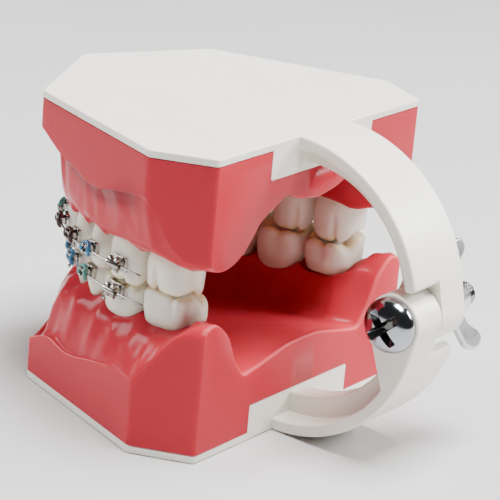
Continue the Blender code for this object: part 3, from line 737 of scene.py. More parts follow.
def wall_point(share):
    """A point of the trimmed wall, its corners a little rounded."""
    corners = np.array(outline_half() + [(-FRONT_HALF, FRONT_SIDE_Y)])
    marks = lengths_along(corners)
    length = share * marks[3]
    for k in (1, 2, 3):
        if abs(length - marks[k]) < CORNER_ROUND:
            start, end = (corners[k] + unit(corners[j] - corners[k]) * CORNER_ROUND for j in (k - 1, k + 1))
            return curve(start, corners[k], end, (length - marks[k] + CORNER_ROUND) / (2 * CORNER_ROUND))
    return spot_along(corners, marks, length)


def gum_shares():
    """The shares at which the gum's sections stand, closer together round the wall's corners."""
    marks = lengths_along(np.array(outline_half()))
    shares = list(np.linspace(FIRST_SHARE, 1.0, GUM_STATIONS))
    for mark in marks[1:]:
        shares += [(mark + CORNER_ROUND * k / 4) / marks[-1] for k in range(-4, 5)]
    shares = sorted(s for s in shares if FIRST_SHARE <= s <= 1.0)
    return [s for i, s in enumerate(shares) if i == 0 or s - shares[i - 1] > 2e-4]


def tooth_marks(jaw):
    """Where each tooth is along the labial arch, from the midline back: (row, middle, start, end)."""
    labial = arch_path(*JAWS[jaw]["arch"])
    lengths = lengths_along(labial)
    rows, spots = list(zip(*tooth_frames(jaw)))[:2]
    middles = [lengths[np.linalg.norm(labial - spot, axis=1).argmin()] for spot in spots]
    ends = []
    for (row, after), middle, onward in zip(zip(rows, rows[1:]), middles, middles[1:]):
        ends.append(middle + (onward - middle) * row[1] / (row[1] + after[1]))
    ends.append(middles[-1] + rows[-1][1] * SPACING / 2)
    return list(zip(rows, middles, [0.0] + ends[:-1], ends))


def tooth_at(marks, length):
    """The tooth row at a length along the arch, and the place across it from -1 to 1 (beyond 1 is behind)."""
    for row, middle, start, end in marks:
        if length <= end or row is marks[-1][0]:
            half = middle - start if length < middle else end - middle
            return row, (length - middle) / half


def gum_controls(jaw, share, marks, labial, lengths):
    """One section's control points from the wall's foot to the hub, as (x, y, height), and their radii."""
    table = np.array(GUM_SECTIONS[jaw])
    wall_top, foot, floor = (smooth_interp(share, table[:, 0], table[:, i]) for i in (1, 2, 3))
    wall = wall_point(share)
    length = lengths[-1] * (1 - share)
    place, _, normal = point_along(labial, length)
    normal = normal if share > 0 else np.array([1.0, 0.0])
    row, across = tooth_at(marks, length)
    plate_face = 0.0 if jaw == "lower" else HEIGHT
    middles = [mark[1] for mark in marks]
    gum_line = np.interp(length, middles, [abs(mark[0][3] - plate_face) for mark in marks])
    deep = np.interp(length, middles, [0.9 * mark[0][2] + 0.55 for mark in marks])
    beyond = smooth_step(across, 1.0, 1.5) if row[0] == "second_molar" else 0.0
    rounded = min(abs(across), 1.0)
    front = smooth_step(share, 0.35, 0.75)
    scallop = SCALLOP[jaw][0] + (SCALLOP[jaw][1] - SCALLOP[jaw][0]) * front
    papilla = rounded**2.6
    margin = gum_line + scallop * papilla + RETROMOLAR[jaw] * beyond
    recess = 0.5 + RECESS[jaw] * rounded**3.2
    form = row[5]
    if form == "molar":
        bulge = 0.75 * (math.exp(-(((across - 0.45) / 0.3) ** 2)) + math.exp(-(((across + 0.45) / 0.3) ** 2)))
    else:
        bulge = math.exp(-((across / 0.5) ** 2))
    bulge *= ROOT_BULGE[form] * BULGE_SHARE[jaw] * (1 - beyond)
    lip = place + normal * (LIP - recess)
    bone_foot = place + (wall - place) * np.interp(share, *BONE_FOOT[jaw])
    bone_top = place + (wall - place) * np.interp(share, *BONE_TOP[jaw])
    trough = TROUGH[jaw] * smooth_step(share, 0.24, 0.36)
    rise = max(gum_line - wall_top, 0.4)
    frenum = math.exp(-((length / 0.9) ** 2)) + 0.7 * math.exp(-(((length - marks[2][3]) / 1.1) ** 2))
    valley = VALLEY[jaw] * math.exp(-(((length - marks[2][3] + 2.4) / 1.3) ** 2))
    pull = normal * (FRENUM_PULL * frenum - valley)
    dive = 1.7 * (1 - papilla) * (1 - beyond) + 0.15
    lingual = margin - LINGUAL_DROP[jaw]
    tongue = place - normal * (deep - 0.9 * rounded**3.2)
    spread = smooth_interp(share, (0.0, 0.15, 1.0), (1.6, 1.0, 1.0))
    inner = place - normal * (deep + 3.6 * spread)
    hub = np.array([0.0, BACK_Y - BACK_ROUND * min(share / FIRST_SHARE, 1.0)])
    flat = [
        (wall, wall_top, np.interp(share, *WALL_EDGE[jaw])),
        (0.45 * wall + 0.55 * bone_foot, wall_top - trough + 0.02 * rise, 0.8),
        (bone_foot + normal * 0.45 * bulge + pull, wall_top + 0.12 * rise + 0.5 * frenum, 1.3),
        (0.5 * bone_foot + 0.5 * bone_top + normal * 0.7 * bulge + 0.6 * pull, wall_top + 0.55 * rise, 3.0),
        (bone_top + normal * 0.45 * bulge, wall_top + 0.88 * rise, 1.6),
        (lip + normal * 0.16, margin - 0.25, 0.6),
        (lip - normal * 0.5, margin + 0.1, 0.4),
        (lip - normal * 1.5, margin - dive, 0.8),
        (place - normal * (deep / 2), margin - dive, 2.0),
        (tongue + normal * 1.2, lingual - dive, 0.8),
        (tongue + normal * 0.1, lingual + 0.1, 0.4),
        (tongue - normal * 0.55, lingual - 0.35, 0.8),
        (place - normal * (deep + 1.7 * spread), (lingual + foot) / 2 + 0.8, 3.0),
        (inner, foot, 3.0),
        (inner + (hub - inner) * 0.45, floor, 5.0),
        (inner + (hub - inner) * 0.8, floor + (HUB_HEIGHT[jaw] - floor) * 0.75, 4.0),
        (hub, HUB_HEIGHT[jaw], 0.0),
    ]
    blend = smooth_step(share, 0.0, BACK_BLEND)
    points, radii = [(*wall, PLATE_THICK + SEAM)], [0.0]
    for (spot, height, radius), (back_x, back_height) in zip(flat, BACK_PROFILE[jaw]):
        back_x = back_x * wall[0] / BACK_HALF
        x = back_x + (spot[0] - back_x) * blend
        points.append((x, spot[1], back_height + (height - back_height) * blend))
        radii.append(radius if radius < 0.6 and len(radii) == 1 else radius * blend + 1.2 * (1 - blend))
    return points, radii


def gum_half(jaw):
    """All sections of one side, from the back face's flat edge to the midline in front."""
    labial = arch_path(*JAWS[jaw]["arch"])
    fixed = tooth_marks(jaw), labial, lengths_along(labial)
    sections = []
    for k in range(BACK_STEPS):
        angle = math.pi / 2 * k / BACK_STEPS
        section = rounded_path(*gum_controls(jaw, FIRST_SHARE * (1 - math.cos(angle)), *fixed))
        run = np.gradient(section[:, [0, 2]], axis=0)
        run /= np.linalg.norm(run, axis=1)[:, None] + 1e-12
        run[0], run[-1] = (0.0, 1.0), (-1.0, 0.0)
        section[:, [0, 2]] += np.column_stack([-run[:, 1], run[:, 0]]) * BACK_ROUND * (1 - math.sin(angle))
        sections.append(section)
    sections += [rounded_path(*gum_controls(jaw, share, *fixed)) for share in gum_shares()]
    sections[-1][:, 0] = 0.0
    return sections


def carved(jaw, section):
    """Small waves of hand-carved wax on a gum section, and the wrinkles of the palate."""
    result = section.copy()
    for i, (x, y, height) in enumerate(section):
        if height < PLATE_THICK + 1 or y > BACK_Y - 0.5:
            continue
        side = smooth_step(BACK_Y - y, 0.5, 4.0) * smooth_step(i, 5, 12)
        wave = noise.noise(Vector((x * 0.35, y * 0.35, height * 0.28)))
        fine = noise.noise(Vector((x * 1.1 + 9, y * 1.1, height * 0.7)))
        result[i, 2] += side * (CARVE_HIGH * wave + CARVE_HIGH / 4 * fine)
        outward = np.array([x, y - ARCH_Y]) / (math.hypot(x, y - ARCH_Y) + 1e-6)
        result[i, :2] += side * CARVE_SIDE * wave * outward
        if jaw == "upper" and i > len(section) - 20:
            reach = math.hypot(x, y - RUGA_AREA[0])
            ridge = math.sin(2.0 * (y + 0.35 * abs(x))) * smooth_step(abs(x), 0.4, 2.0)
            result[i, 2] += RUGA_HIGH * max(ridge, 0.0) * (1 - smooth_step(reach, *RUGA_AREA[1:]))
    return result


def back_face(edge, first, other, feet):
    """The flat back round the tab's pocket, the pocket and the base. edge is the first section, other the
    index where the mirrored one starts, and feet are the indices of the wall's foot points."""
    base = PLATE_THICK + SEAM
    half, top, front = TAB_HALF + SEAM, TAB_TOP + SEAM, BACK_Y - TAB_DEPTH - SEAM
    count = len(edge)
    crossing = next(i for i in range(1, count) if edge[i][0] <= half)
    points, faces, sides = [], [], []
    for start, side in ((0, 1), (other, -1)):
        lows = {}
        for i in range(1, count):
            lows[i] = first + len(points)
            points.append((side * edge[i][0], BACK_Y, base if i < crossing else top))
        corners = [first + len(points) + k for k in range(3)]
        points += [(side * half, BACK_Y, top), (side * half, BACK_Y, base), (side * half, front, top)]
        points.append((side * half, front, base))
        high, low = corners[0], corners[1]
        inner_high, inner_low = corners[2], corners[2] + 1
        faces.append((start, start + 1, lows[1]))
        for i in range(1, count - 1):
            if i + 1 == crossing:
                faces.append((start + i, start + i + 1, lows[i + 1], high))
                faces.append((start + i, high, low, lows[i]))
            else:
                faces.append((start + i, start + i + 1, lows[i + 1], lows[i]))
        faces.append((high, low, inner_low, inner_high))
        sides.append((lows, high, low, inner_high, inner_low))
    (left, high, low, inner_high, inner_low), (right, high2, low2, inner_high2, inner_low2) = sides
    ceiling = [high] + [left[i] for i in range(crossing, count)]
    ceiling += [right[i] for i in range(count - 2, crossing - 1, -1)] + [high2, inner_high2, inner_high]
    faces.append(tuple(ceiling))
    faces.append((inner_high, inner_low, inner_low2, inner_high2))
    bottom = feet + [right[i] for i in range(1, crossing)] + [low2, inner_low2, inner_low, low]
    faces.append(tuple(bottom + [left[i] for i in range(crossing - 1, 0, -1)]))
    return points, faces


def gum_shading(jaw, sections):
    """How deep each point lies in the painted shade of the fold under the wall's edge, and how much painted
    highlight it gets on an edge.
    """
    count = len(sections[0])
    fold_shade, edge = np.zeros(count), np.zeros(count)
    # painted shade in the fold under the upper wall's edge
    for k, depth in enumerate(FOLD_SHADE_DEPTHS[jaw]):
        fold_shade[1 + k * CORNER_SAMPLES:1 + (k + 1) * CORNER_SAMPLES] = depth
    fold_shade[1:1 + CORNER_SAMPLES] *= np.linspace(0, 1, CORNER_SAMPLES)
    fold_shade = np.convolve(fold_shade, (0.25, 0.5, 0.25), "same")
    # painted highlight along the wall's edge, weaker where it rounds off
    edge[2:CORNER_SAMPLES] = EDGE_HIGHLIGHT[jaw]
    edge[CORNER_SAMPLES] = 0.3 * EDGE_HIGHLIGHT[jaw]
    # painted highlight over the rounding into the back face
    behind = np.where(np.arange(count) > CORNER_SAMPLES, 0.35, 0.0)
    places = [section[0][1] for section in sections]
    ahead = np.interp(places, (FRONT_Y, SIDE_Y - 5.0, SIDE_Y), (1.0, 1.0, 0.0))
    beside = np.interp(places, (FRONT_Y, SIDE_Y - 14.0, SIDE_Y - 8.0), (1.0, 1.0, 0.0))
    back = np.zeros(len(sections))
    back[1:BACK_STEPS] = back[-BACK_STEPS:-1] = 1.0
    return np.outer(ahead, fold_shade).ravel(), (np.outer(beside, edge) + np.outer(back, behind)).ravel()


def make_gum(jaw):
    half = [carved(jaw, section) for section in gum_half(jaw)]
    whole = half + [section * (-1, 1, 1) for section in reversed(half[:-1])]
    count, last = len(whole[0]), len(whole) - 1
    faces = []
    for start in range(0, last * count, count):
        faces += [(a, a + 1, a + 1 + count, a + count) for a in range(start, start + count - 1)]
    feet = [s * count for s in range(len(whole))]
    extra, more = back_face(whole[0], len(whole) * count, last * count, feet)
    points = np.vstack(whole + [extra])
    if jaw == "upper":
        points = points * (1, 1, -1) + (0, 0, HEIGHT)
    piece = new_piece(f"{jaw}_gum_block", points, faces + more, GUM, f"{jaw}_jaw", f"{jaw}_gum", sharp=50)
    # the painted shade (fold) and painted highlight (edge) weights that the gum material reads
    for name, values in zip(("fold_shade", "edge"), gum_shading(jaw, whole)):
        add_attribute(piece, name, np.append(values, np.zeros(len(extra))))
    reshape(piece.data, weld=True, outward=False)


# Solids joined by Booleans


def temporary(points, faces, bowed=False):
    """A closed mesh object that is used up by combined. A bowed one has caps that aren't flat."""
    return new_object("temporary", points, faces, weld=True, bowed=bowed)


def combined(base, added=(), removed=()):
    """The solid left when others are added to base and then removed, as points in millimetres and faces."""
    steps = [("UNION", other) for other in added] + [("DIFFERENCE", other) for other in removed]
    for operation, other in steps:
        modifier = base.modifiers.new(operation, "BOOLEAN")
        modifier.operation = operation
        modifier.object = other
        modifier.solver = "EXACT"
    mesh = bpy.data.meshes.new_from_object(base.evaluated_get(bpy.context.evaluated_depsgraph_get()))
    points = np.array([v.co for v in mesh.vertices]) / MM
    faces = [tuple(p.vertices) for p in mesh.polygons]
    for used in [base, *added, *removed]:
        bpy.data.objects.remove(used)
    bpy.data.meshes.remove(mesh)
    return points, faces


def inset_outline(outline, amount):
    """A closed outline of (u, v) moved inward by amount, its corners kept."""
    outline = np.asarray(outline, float)
    onward = np.roll(outline, -1, axis=0) - outline
    onward /= np.linalg.norm(onward, axis=1)[:, None]
    turn = np.sum(outline[:, 0] * np.roll(outline[:, 1], -1) - outline[:, 1] * np.roll(outline[:, 0], -1))
    inward = np.column_stack([-onward[:, 1], onward[:, 0]]) * math.copysign(1.0, turn)
    before = np.roll(inward, 1, axis=0)
    together = 1 + np.sum(inward * before, axis=1)
    return outline + (inward + before) / together[:, None].clip(0.3) * amount


def rounded_outline(points, radii, samples=5):
    """A closed outline with rounded corners. radii is one radius, or one for each corner."""
    points = np.asarray(points, float)
    radii = np.broadcast_to(radii, len(points))
    result = []
    for before, corner, after, radius in zip(np.roll(points, 1, 0), points, np.roll(points, -1, 0), radii):
        rounded = radius > 0
        result.append(rounded_corner(before, corner, after, radius, 0.45, samples) if rounded else [corner])
    return np.vstack(result)


def rim(level, inward, radius, steps):
    """A prism's rounded rim from its flat end on, as (inset, level). inward is the way into the prism."""
    if radius == 0:
        return [(0.0, level)]
    angles = [math.pi / 2 * k / steps for k in range(steps + 1)]
    return [(radius * (1 - math.sin(a)), level + inward * radius * (1 - math.cos(a))) for a in angles]


def rounded_prism(outline, place, low, high, low_round, high_round, steps=4):
    """An outline run from low to high, its two rims rounded. place(u, v, w) gives arrays of x, y and z."""
    made = []
    for amount, level in rim(low, 1, low_round, steps) + rim(high, -1, high_round, steps)[::-1]:
        edge = inset_outline(outline, amount) if amount else np.asarray(outline, float)
        made.append(np.column_stack(place(edge[:, 0], edge[:, 1], np.full(len(edge), level))))
    return loft(made)


def run_x(y, z, x):
    """A prism of an outline in (y, z), run along x. For a bracket these are (along, out, up)."""
    return x, y, z


def run_y(x, z, y):
    return x, y, z


def run_z(x, y, z):
    return x, y, z


def prism(*shape):
    return temporary(*rounded_prism(*shape))


def arc(centre, radius, start, end, step=3.0):
    """Points on a circle in the (y, z) plane, from start to end in degrees."""
    count = max(2, int(abs(end - start) / step) + 1)
    angles = np.radians(np.linspace(start, end, count))
    return np.column_stack([centre[0] + radius * np.cos(angles), centre[1] + radius * np.sin(angles)])


# Plates with their hinge arms

PLATE_EDGE = 0.25
ARM_EDGE = 0.45
ARM_CENTRE = (BACK_Y, MID_Z)
HINGE_POINT = np.array([HINGE_Y, MID_Z])
ARM_INNER = ARM_RADIUS - FLANGE_THICK
KNUCKLE_LEAVE = -30.0  # degrees round the ring where its inner side leaves the knuckle
ARM_ROOT = -93.0  # degrees round the arm's ring where it starts, inside the tab
FAR_END = math.degrees(math.asin((ARM_END_Z - MID_Z) / ARM_RADIUS))
KNUCKLE_GAP = 0.15


def ring_point(radius, angle):
    """A point of the arm's ring, as (y, z). The angle is in degrees."""
    angle = math.radians(angle)
    return np.array([ARM_CENTRE[0] + radius * math.cos(angle), ARM_CENTRE[1] + radius * math.sin(angle)])


def near_arm_outline():
    """The half of the arm that turns into the knuckle: flange, then the knuckle's round end, as (y, z)."""
    meet = -math.degrees(math.acos((ARM_RADIUS - KNUCKLE_RADIUS) / (HINGE_Y - BACK_Y)))
    away = ring_point(ARM_INNER, KNUCKLE_LEAVE) - HINGE_POINT
    turn = math.atan2(away[1], away[0]) - math.acos(KNUCKLE_RADIUS / np.linalg.norm(away))
    return np.vstack([
        arc(ARM_CENTRE, ARM_RADIUS, ARM_ROOT, meet, 2.5),
        arc(HINGE_POINT, KNUCKLE_RADIUS, meet + 3, math.degrees(turn) + 360, 6.0),
        arc(ARM_CENTRE, ARM_INNER, KNUCKLE_LEAVE, ARM_ROOT, 2.5),
    ])


def far_arm_outline():
    """The half of the arm that ends short of the other arm's knuckle, its tip rounded."""
    tip = [ring_point(ARM_RADIUS, FAR_END - 5), ring_point(ARM_RADIUS, FAR_END)]
    tip += [ring_point(ARM_INNER, FAR_END), ring_point(ARM_INNER, FAR_END - 4)]
    return np.vstack([
        arc(ARM_CENTRE, ARM_RADIUS, ARM_ROOT, FAR_END - 6, 2.5),
        rounded_path(tip, [0.0, 1.2, 0.8, 0.0], 7),
        arc(ARM_CENTRE, ARM_INNER, FAR_END - 6, ARM_ROOT, 2.5),
    ])


def rib_outline(end):
    middle = ARM_RADIUS - FLANGE_THICK / 2
    return np.vstack([
        arc(ARM_CENTRE, middle, ARM_ROOT, end, 2.5), arc(ARM_CENTRE, RIB_RADIUS, end, ARM_ROOT + 2.0, 2.5)])


def make_plate(jaw):
    """One plate moulding with its tab, arm and bored knuckle."""
    corners = outline_half() + [(-x, y) for x, y in reversed(outline_half()[:-1])]
    tab_corners = ((-TAB_HALF, 0.4), (TAB_HALF, 0.4), (TAB_HALF, TAB_TOP), (-TAB_HALF, TAB_TOP))
    tab = rounded_outline(tab_corners, (0, 0, 0.5, 0.5))
    near_rib, far_rib = rib_outline(-4.0), rib_outline(FAR_END - 0.2)
    bore = arc(HINGE_POINT, BORE_RADIUS, 0, 352.5, 7.5)
    points, faces = combined(
        prism(rounded_outline(corners, 0.6), run_z, 0.0, PLATE_THICK, PLATE_EDGE, PLATE_EDGE),
        [prism(tab, run_y, BACK_Y - TAB_DEPTH, BACK_Y, 0.2, 0.0),
         prism(far_arm_outline(), run_x, -FLANGE_HALF, 3.0, ARM_EDGE, 0.0),
         prism(near_arm_outline(), run_x, KNUCKLE_GAP, KNUCKLE_END, 0.0, ARM_EDGE),
         prism(far_rib, run_x, -RIB_HALF, 1.0, ARM_EDGE, 0.0),
         prism(near_rib, run_x, KNUCKLE_GAP + 0.1, RIB_HALF, 0.0, ARM_EDGE)],
        [prism(bore, run_x, -2.0, KNUCKLE_END + 1, 0.0, 0.0)])
    if jaw == "upper":
        points = points * (-1, 1, -1) + (0, 0, HEIGHT)
    piece = new_piece(f"{jaw}_base_plate", points, faces, PLATE, f"{jaw}_jaw", f"{jaw}_plate", sharp=32)
    piece.modifiers.new("even_shading", "WEIGHTED_NORMAL").keep_sharp = True


# Screw and wing nut

HINGE_AXIS = np.array([0.0, HINGE_Y, MID_Z])
HEAD_SEAT = SCREW_BOX[1][0] - HEAD_HIGH
DOME_STEPS = 18
THREAD_PITCH = 0.8
THREAD_STEPS = 12  # rings to a turn of the thread
THREAD_DEEP = 0.42
THREAD_START = -7.0
RECESS_TURN = math.radians(42.0)
WING_HALF = 0.85  # half the wing's thickness
WING_EDGE = 0.4
CAST_VOXEL = 0.00014  # in metres


def hinge_ring(x, radius, sides):
    """A ring about the hinge axis. radius is one, or one for each side."""
    across, upward = circle(sides)
    return np.column_stack([np.full(sides, x), HINGE_Y + radius * across, MID_Z + radius * upward])


def turned(profile, sides=64):
    """Rings of a profile of (x, radius) pairs turned about the hinge axis."""
    return [hinge_ring(x, radius, sides) for x, radius in profile]


def thread_rings(start, end, sides=48):
    """A thread cut on the shank, from start to end along x, fading out at both ends."""
    rings = []
    steps = int(abs(end - start) / THREAD_PITCH * THREAD_STEPS)
    for x in start + (end - start) * np.arange(steps + 1) / steps:
        phase = (x / THREAD_PITCH + np.arange(sides) / sides) % 1.0
        cut = smooth_step(np.abs(phase - 0.5) * 2, 0.1, 0.9) * smooth_step(abs(x - end), 0.0, 0.7)
        tip = smooth_step(abs(x - start), 0.0, 0.6)
        rings.append(hinge_ring(x, SHANK_RADIUS - THREAD_DEEP * cut - 0.55 * (1 - tip), sides))
    return rings


def recess_bar(turn):
    """One bar of the cross recess, tapering toward the bottom."""
    way = np.array([0.0, math.cos(turn), math.sin(turn)])
    side = np.array([0.0, -math.sin(turn), math.cos(turn)])
    rings = []
    for rise, long, wide in ((0.7, 1.2, 0.45), (1.1, 1.9, 0.62), (4.2, 5.2, 1.05)):
        spots = rounded_outline(((-long, -wide), (long, -wide), (long, wide), (-long, wide)), 0.3, 4)
        rings.append([HINGE_AXIS + (HEAD_SEAT + rise, 0, 0) + way * u + side * v for u, v in spots])
    return temporary(*loft(rings))


def make_screw():
    """A pan head machine screw: domed head with a cross recess, plain neck and cut thread."""
    neck = [(HEAD_SEAT - 0.3, SHANK_RADIUS), (HEAD_SEAT, SHANK_RADIUS + 0.15), (HEAD_SEAT, HEAD_RADIUS - 0.3),
            (HEAD_SEAT + 0.08, HEAD_RADIUS - 0.1), (HEAD_SEAT + 0.25, HEAD_RADIUS)]
    angles = [math.pi / 2 * k / DOME_STEPS for k in range(1, DOME_STEPS + 1)]
    dome_x = [HEAD_SEAT + 0.55 + (HEAD_HIGH - 0.55) * math.sin(angle) for angle in angles]
    dome_radius = [max(0.02, HEAD_RADIUS * math.cos(angle) ** 0.78) for angle in angles]
    rings = thread_rings(SCREW_BOX[0][0], THREAD_START) + turned(neck + list(zip(dome_x, dome_radius)), 48)
    bars = [recess_bar(RECESS_TURN + turn) for turn in (0.0, math.pi / 2)]
    points, faces = combined(temporary(*loft(rings)), removed=bars)
    screw = new_piece("hinge_screw_m5", points, faces, CHROME, "screw", "hinge_screw", sharp=38)
    away = np.linalg.norm(points[:, 1:] - HINGE_AXIS[1:], axis=1)
    surface = np.interp(away, dome_radius[::-1], dome_x[::-1])
    inside = (points[:, 0] > HEAD_SEAT + 0.3) & (away < HEAD_RADIUS - 0.2)
    sunk = np.where(inside, surface - points[:, 0], 0.0)
    # painted shade in the cross recess, darker the deeper it is sunk
    add_attribute(screw, "recess_shade", 0.85 * smooth_step(sunk, 0.15, 0.9))


def wing_outline(start):
    """One wing in its own plane, as (reach from the axis, x): a broad blade, widest near its end."""
    corners = [(2.6, start - 0.8), (4.3, start - 1.2), (6.2, start - 3.0), (9.6, start - 4.4),
               (11.1, start - 6.6), (10.7, start - 9.5), (8.5, start - 10.5), (5.6, NUT_END - 0.3),
               (4.2, NUT_END + 0.4), (2.6, NUT_END + 0.7)]
    return rounded_outline(corners, (0, 1.0, 1.6, 1.4, 1.4, 1.4, 1.6, 1.0, 0.8, 0), 5)


def make_wing_nut():
    """A cast wing nut: tapered body, two splayed wings and soft fillets, with a plain bore."""
    start = NUT_BOX[1][0]
    body = turned((
        (start, NUT_RADIUS - 0.35), (start - 0.35, NUT_RADIUS), (start - 0.9, NUT_RADIUS),
        (start - 1.4, NUT_RADIUS - 0.4), (start - 2.2, NUT_RADIUS - 1.0), (NUT_END + 1.0, NUT_RADIUS - 1.45),
        (NUT_END + 0.7, NUT_RADIUS - 1.7), (NUT_END + 0.7, BORE_RADIUS), (NUT_END + 1.0, BORE_RADIUS - 0.2),
        (start - 0.3, BORE_RADIUS - 0.2), (start, BORE_RADIUS)))
    wings = []
    for turn in (1, -1):
        def placed(reach, x, offset):
            up = np.array([0.0, -math.sin(WING_TILT), math.cos(WING_TILT)]) * turn
            side = np.array([0.0, math.cos(WING_TILT), math.sin(WING_TILT)])
            spots = HINGE_AXIS + np.outer(reach, up) + np.outer(offset, side)
            return spots[:, 0] + x, spots[:, 1], spots[:, 2]

        wings.append(prism(wing_outline(start), placed, -WING_HALF, WING_HALF, WING_EDGE, WING_EDGE))
    casting = temporary(*combined(temporary(*loft(body, loop=True)), wings))
    remesh = casting.modifiers.new("cast", "REMESH")
    remesh.mode = "VOXEL"
    remesh.voxel_size = CAST_VOXEL
    soften = casting.modifiers.new("soften", "SMOOTH")
    soften.factor = 0.5
    soften.iterations = 12
    new_piece("wing_nut_casting", *combined(casting), ZINC, "nut", "wing_nut")


# Braces

COLUMN_HALF = 0.34
COLUMN_AT = 0.56
HOOK_RADIUS = 0.2
PAD_BOW = 0.055  # how much a pad falls back with the square of the way from its middle
BALL_RADIUS = 0.36
BARREL_BORE = 0.34
LIGATURE_RADIUS = 0.43
RING_COLOURS = {
    "upper": ("blue", "teal", "dark", "dark", "blue"),
    "lower": ("dark", "teal", "blue", "blue", "teal"),
}
HOOKED = {("lower", "canine"), ("lower", "first_premolar"), ("upper", "canine")}


def wire_path(jaw):
    """The archwire's own half arch, cut short behind the molar tube."""
    half_width, depth = JAWS[jaw]["arch"]
    path = arch_path(half_width + WIRE_OUT, depth + WIRE_OUT)
    return path[path[:, 1] <= WIRE_END_Y]


def tube_along(path, radius, sides=10):
    """Rings round a path of 3-D points. radius may be one for each point."""
    path = np.asarray(path, float)
    radius = np.broadcast_to(radius, len(path))
    across, upward = circle(sides)
    rings = []
    for k, centre in enumerate(path):
        ahead = unit(path[min(k + 1, len(path) - 1)] - path[max(k - 1, 0)])
        side = np.cross(ahead, (0.0, 0.0, 1.0))
        if np.linalg.norm(side) < 0.2:
            side = np.cross(ahead, (1.0, 0.0, 0.0))
        side = unit(side)
        rings.append(centre + radius[k] * (np.outer(across, side) + np.outer(upward, np.cross(side, ahead))))
    return rings


def make_wire(jaw):
    half = wire_path(jaw)
    half = np.array([point_along(half, length)[0] for length in np.linspace(0, lengths_along(half)[-1], 90)])
    half[0, 0] = 0.0
    path = np.vstack([half[::-1], half[1:] * (-1, 1)])
    radii = np.full(len(path), WIRE_RADIUS)
    radii[[0, -1]] *= 0.7
    level = np.full((len(path), 1), JAWS[jaw]["wire_z"])
    points, faces = loft(tube_along(np.hstack([path, level]), radii, 12))
    new_piece(f"{jaw}_wire", points, faces, WIRE, f"{jaw}_jaw", f"{jaw}_archwire")


def bracket_column():
    """The end view of a tie wing column, as (distance out from the wire, height): wings and slot."""
    upper = [(-0.55, 0.26), (0.30, 0.26), (0.55, 0.32), (0.70, 0.48), (0.72, 0.72), (0.60, 0.93)]
    upper += [(0.36, 1.02), (0.20, 0.95), (0.16, 0.78), (0.0, 0.66), (-0.5, 0.64), (-0.85, 0.7), (-1.05, 0.7)]
    return upper + [(out, -high) for out, high in reversed(upper)]


def curved_pad(half_along, half_up, corner, lobes=0.0):
    """A thin bonding pad, bowed to the tooth, with an edge that may have four lobes."""
    edge = rounded_outline(
        ((-half_along, -half_up), (0, -half_up + lobes), (half_along, -half_up), (half_along - lobes, 0),
         (half_along, half_up), (0, half_up - lobes), (-half_along, half_up), (-half_along + lobes, 0)),
        (corner, 2 * lobes, corner, 2 * lobes) * 2, 6)
    points, faces = rounded_prism(edge, run_y, -2.1, -1.0, 0.0, 0.14)
    bowed = np.array(points)
    bowed[:, 1] -= PAD_BOW * bowed[:, 0] ** 2
    return temporary(bowed, faces, bowed=True)


def bracket_solid(hook):
    """A twin bracket in (along, out, up): pad, two columns of tie wings, and a ball hook on some."""
    neck = rounded_outline(((-0.8, -0.5), (0.8, -0.5), (0.8, 0.5), (-0.8, 0.5)), 0.2, 3)
    parts = [
        prism(bracket_column(), run_x, at - COLUMN_HALF, at + COLUMN_HALF, 0.13, 0.13)
        for at in (-COLUMN_AT, COLUMN_AT)]
    parts.append(prism(neck, run_y, -1.5, -0.42, 0.0, 0.0))
    if hook:
        parts += hook_parts((-0.75, -0.7, -0.7), (-0.95, -0.35, -1.5), (-1.0, 0.1, -2.15))
    return combined(curved_pad(1.6, 1.45, 0.8), parts)


def hook_parts(*route):
    """A hook's curved post and the ball on its end."""
    post = temporary(*loft(tube_along(rounded_path(route, [2.0] * len(route), 6), HOOK_RADIUS)))
    across, upward = circle(14)
    rings = []
    for angle in math.pi * np.arange(1, 10) / 10:
        spots = [math.sin(angle) * across, math.sin(angle) * upward, np.full(14, math.cos(angle))]
        rings.append(np.array(route[-1]) + BALL_RADIUS * np.column_stack(spots))
    return [post, temporary(*loft(rings))]


def tube_solid(jaw):
    """A molar tube in (along, out, up): pad, barrel with a flared mouth, bands, and a hook on the lower."""
    profile = ((-1.95, 0.62), (-1.85, 0.74), (-1.6, 0.84), (-1.2, 0.78), (1.5, 0.74), (1.72, 0.68))
    across, upward = circle(24)
    barrel = [np.column_stack([np.full(24, along), size * across, size * upward]) for along, size in profile]
    body = rounded_outline(((-1.3, -0.85), (0.1, -0.72), (0.1, 0.72), (-1.3, 0.85)), 0.2, 4)
    parts = [temporary(*loft(barrel)), prism(body, run_x, -1.55, 1.45, 0.12, 0.12, 3)]
    wing = np.array([
        (-0.75, 0.5), (0.35, 0.55), (0.45, 1.05), (-0.02, 1.5), (-0.3, 1.45), (-0.32, 1.0), (-0.75, 0.9)])
    for turn in (1, -1):
        outline = rounded_outline(wing * (1, turn), 0.14, 4)[::turn]
        parts += [prism(outline, run_x, *ends, 0.1, 0.1, 3) for ends in ((-1.35, -0.45), (0.35, 1.3))]
    if jaw == "lower":
        parts += hook_parts(
            (-1.3, -0.4, -0.7), (-1.95, -0.1, -1.1), (-2.25, 0.15, -1.8), (-1.75, 0.3, -2.3),
            (-1.35, 0.3, -2.1))
    bore = prism(BARREL_BORE * np.column_stack(circle(16)), run_x, -3.0, 3.0, 0.0, 0.0)
    return combined(curved_pad(2.15, 1.65, 0.6, 0.25), parts, [bore])


def ligature_points():
    """A thick ring stretched round the tie wings: behind their tips, and over the wire at both ends."""
    path = []
    for k in range(48):
        across, upward = superellipse(2 * math.pi * k / 48, 2.15)
        path.append((1.32 * across, -0.20 + 0.62 * abs(across) ** 2.5, 1.22 * upward))
    path = np.array(path)
    near, beside = circle(14)
    rings = []
    for k, spot in enumerate(path):
        ahead = unit(path[(k + 1) % len(path)] - path[k - 1])
        outward = spot * (1, 0, 1)
        outward = unit(outward - ahead * (outward @ ahead))
        third = np.cross(ahead, outward)
        rings.append(spot + LIGATURE_RADIUS * (np.outer(near, outward) + np.outer(beside, third)))
    return loft(rings, loop=True)


